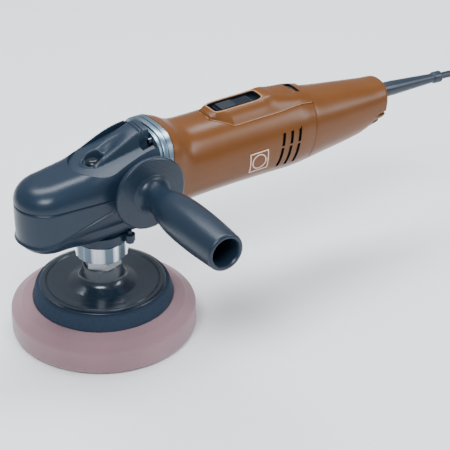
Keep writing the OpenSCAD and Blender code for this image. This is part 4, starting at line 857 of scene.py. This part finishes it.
# ---------------------------------------------------------------------------
# Rear cover
# The same nylon, tapering to a rounded end. The lower part of the end is raked and has air louvres.
# ---------------------------------------------------------------------------
rear_body = smooth_path(np.array([
    [200.6, 31.0, 32.0, 136.4, 2.2], [204, 31.1, 32.1, 136.2, 2.2], [222, 29.0, 29.6, 135.4, 2.2],
    [250, 25.6, 26.2, 134.6, 2.25], [272, 22.8, 23.0, 134.4, 2.3], [278, 22.0, 22.2, 134.5, 2.3],
]), 8)
rear_tip = smooth_path(np.array([
    [278, 22.0, 22.2, 134.5, 2.3], [284, 21.2, 21.4, 134.8, 2.3], [287, 20.7, 20.9, 135.0, 2.3],
    [288.8, 19.6, 20.0, 135.2, 2.3], [289.7, 17.0, 17.6, 135.5, 2.25], [290.0, 12.0, 13.0, 136.0, 2.2],
]), 14)
rear_stations = np.concatenate([rear_body, rear_tip[1:], [[290.0, 5.0, 5.0, 139.0, 2.0]]])
rear_points = superellipse_rings(rear_stations)
along_rear = rear_stations[:, :1]
rear_z = rear_points[..., 2] / MM
# The lower part of the end is raked back, and three level louvres are cut into it
raked = 0.85 * np.maximum(129 - rear_z, 0) * smooth_step(along_rear, 262, 284)
louvre = sum(smooth_step(1.7 - np.abs(rear_z - level), 0, 0.8) for level in (131.0, 125.5, 120.0))
rear_points[..., 0] -= (raked + 6.5 * louvre * smooth_step(along_rear, 276, 285)) * MM
rear_mesh = skin_mesh("rear_shell", [(rear_points, False, True)])
add_piece("rear_shell", rear_mesh, body_nylon, "housing", "body_plastic", "rear_cover")

# ---------------------------------------------------------------------------
# Badge
# A plain printed outline of a square and a circle on the near flank.
# ---------------------------------------------------------------------------
dress(finish("pale_print", (0.75, 0.52, 0.42), 0.5), "badge")

# ---------------------------------------------------------------------------
# Side handle
# One moulding of fine-textured nylon: a round guard, a waisted neck and a swelling grip with an
# open end. It screws into the head on a steel stud.
# ---------------------------------------------------------------------------
handle_axis = Matrix.Translation((0.022, -0.043, 0.146)) @ Matrix.Rotation(math.radians(90), 4, "X")
guard_r = np.arange(31.0, 17.5, -0.28)
guard_rings = 0.10 * np.sin(guard_r / 1.4 * 2 * np.pi)
guard_face = np.stack([guard_r, 5.0 + 0.07 * (32.5 - guard_r) + guard_rings], axis=-1)
guard_edge = rounded([
    (4.2, 0.1, 0), (31.4, 0.1, 0.8), (32.4, 1.2, 1.0), (32.4, 4.2, 1.2), (31.0, 5.15, 0),
], 5)
neck = smooth_path(np.array([
    [17.4, 6.2], [14.6, 7.9], [12.7, 11.4], [12.0, 17.0], [13.0, 25.0], [15.3, 34.0], [17.2, 46.0],
    [18.0, 60.0], [18.1, 74.0], [17.7, 88.0], [16.9, 103.0], [16.4, 110.5],
]), 6)
grip_end = rounded([
    (16.4, 110.5, 0), (16.1, 114.9, 2.2), (12.9, 114.9, 0.8), (12.0, 113.2, 0.8), (11.6, 60.0, 0),
    (0.0, 58.0, 0),
], 6)
handle_profile = np.concatenate([guard_edge, guard_face[1:], neck, grip_end[1:]])
grip_nylon = finish("grip_nylon", (0.009, 0.019, 0.034), 0.34, mottle=0.05, grain=2600.0, bump=0.10,
                    specular=0.35)
handle_mesh = skin_mesh("grip_moulding", [(turned(handle_profile, 128, handle_axis), False, True)])
add_piece("grip_moulding", handle_mesh, grip_nylon, "housing", "grip_plastic", "side_handle")
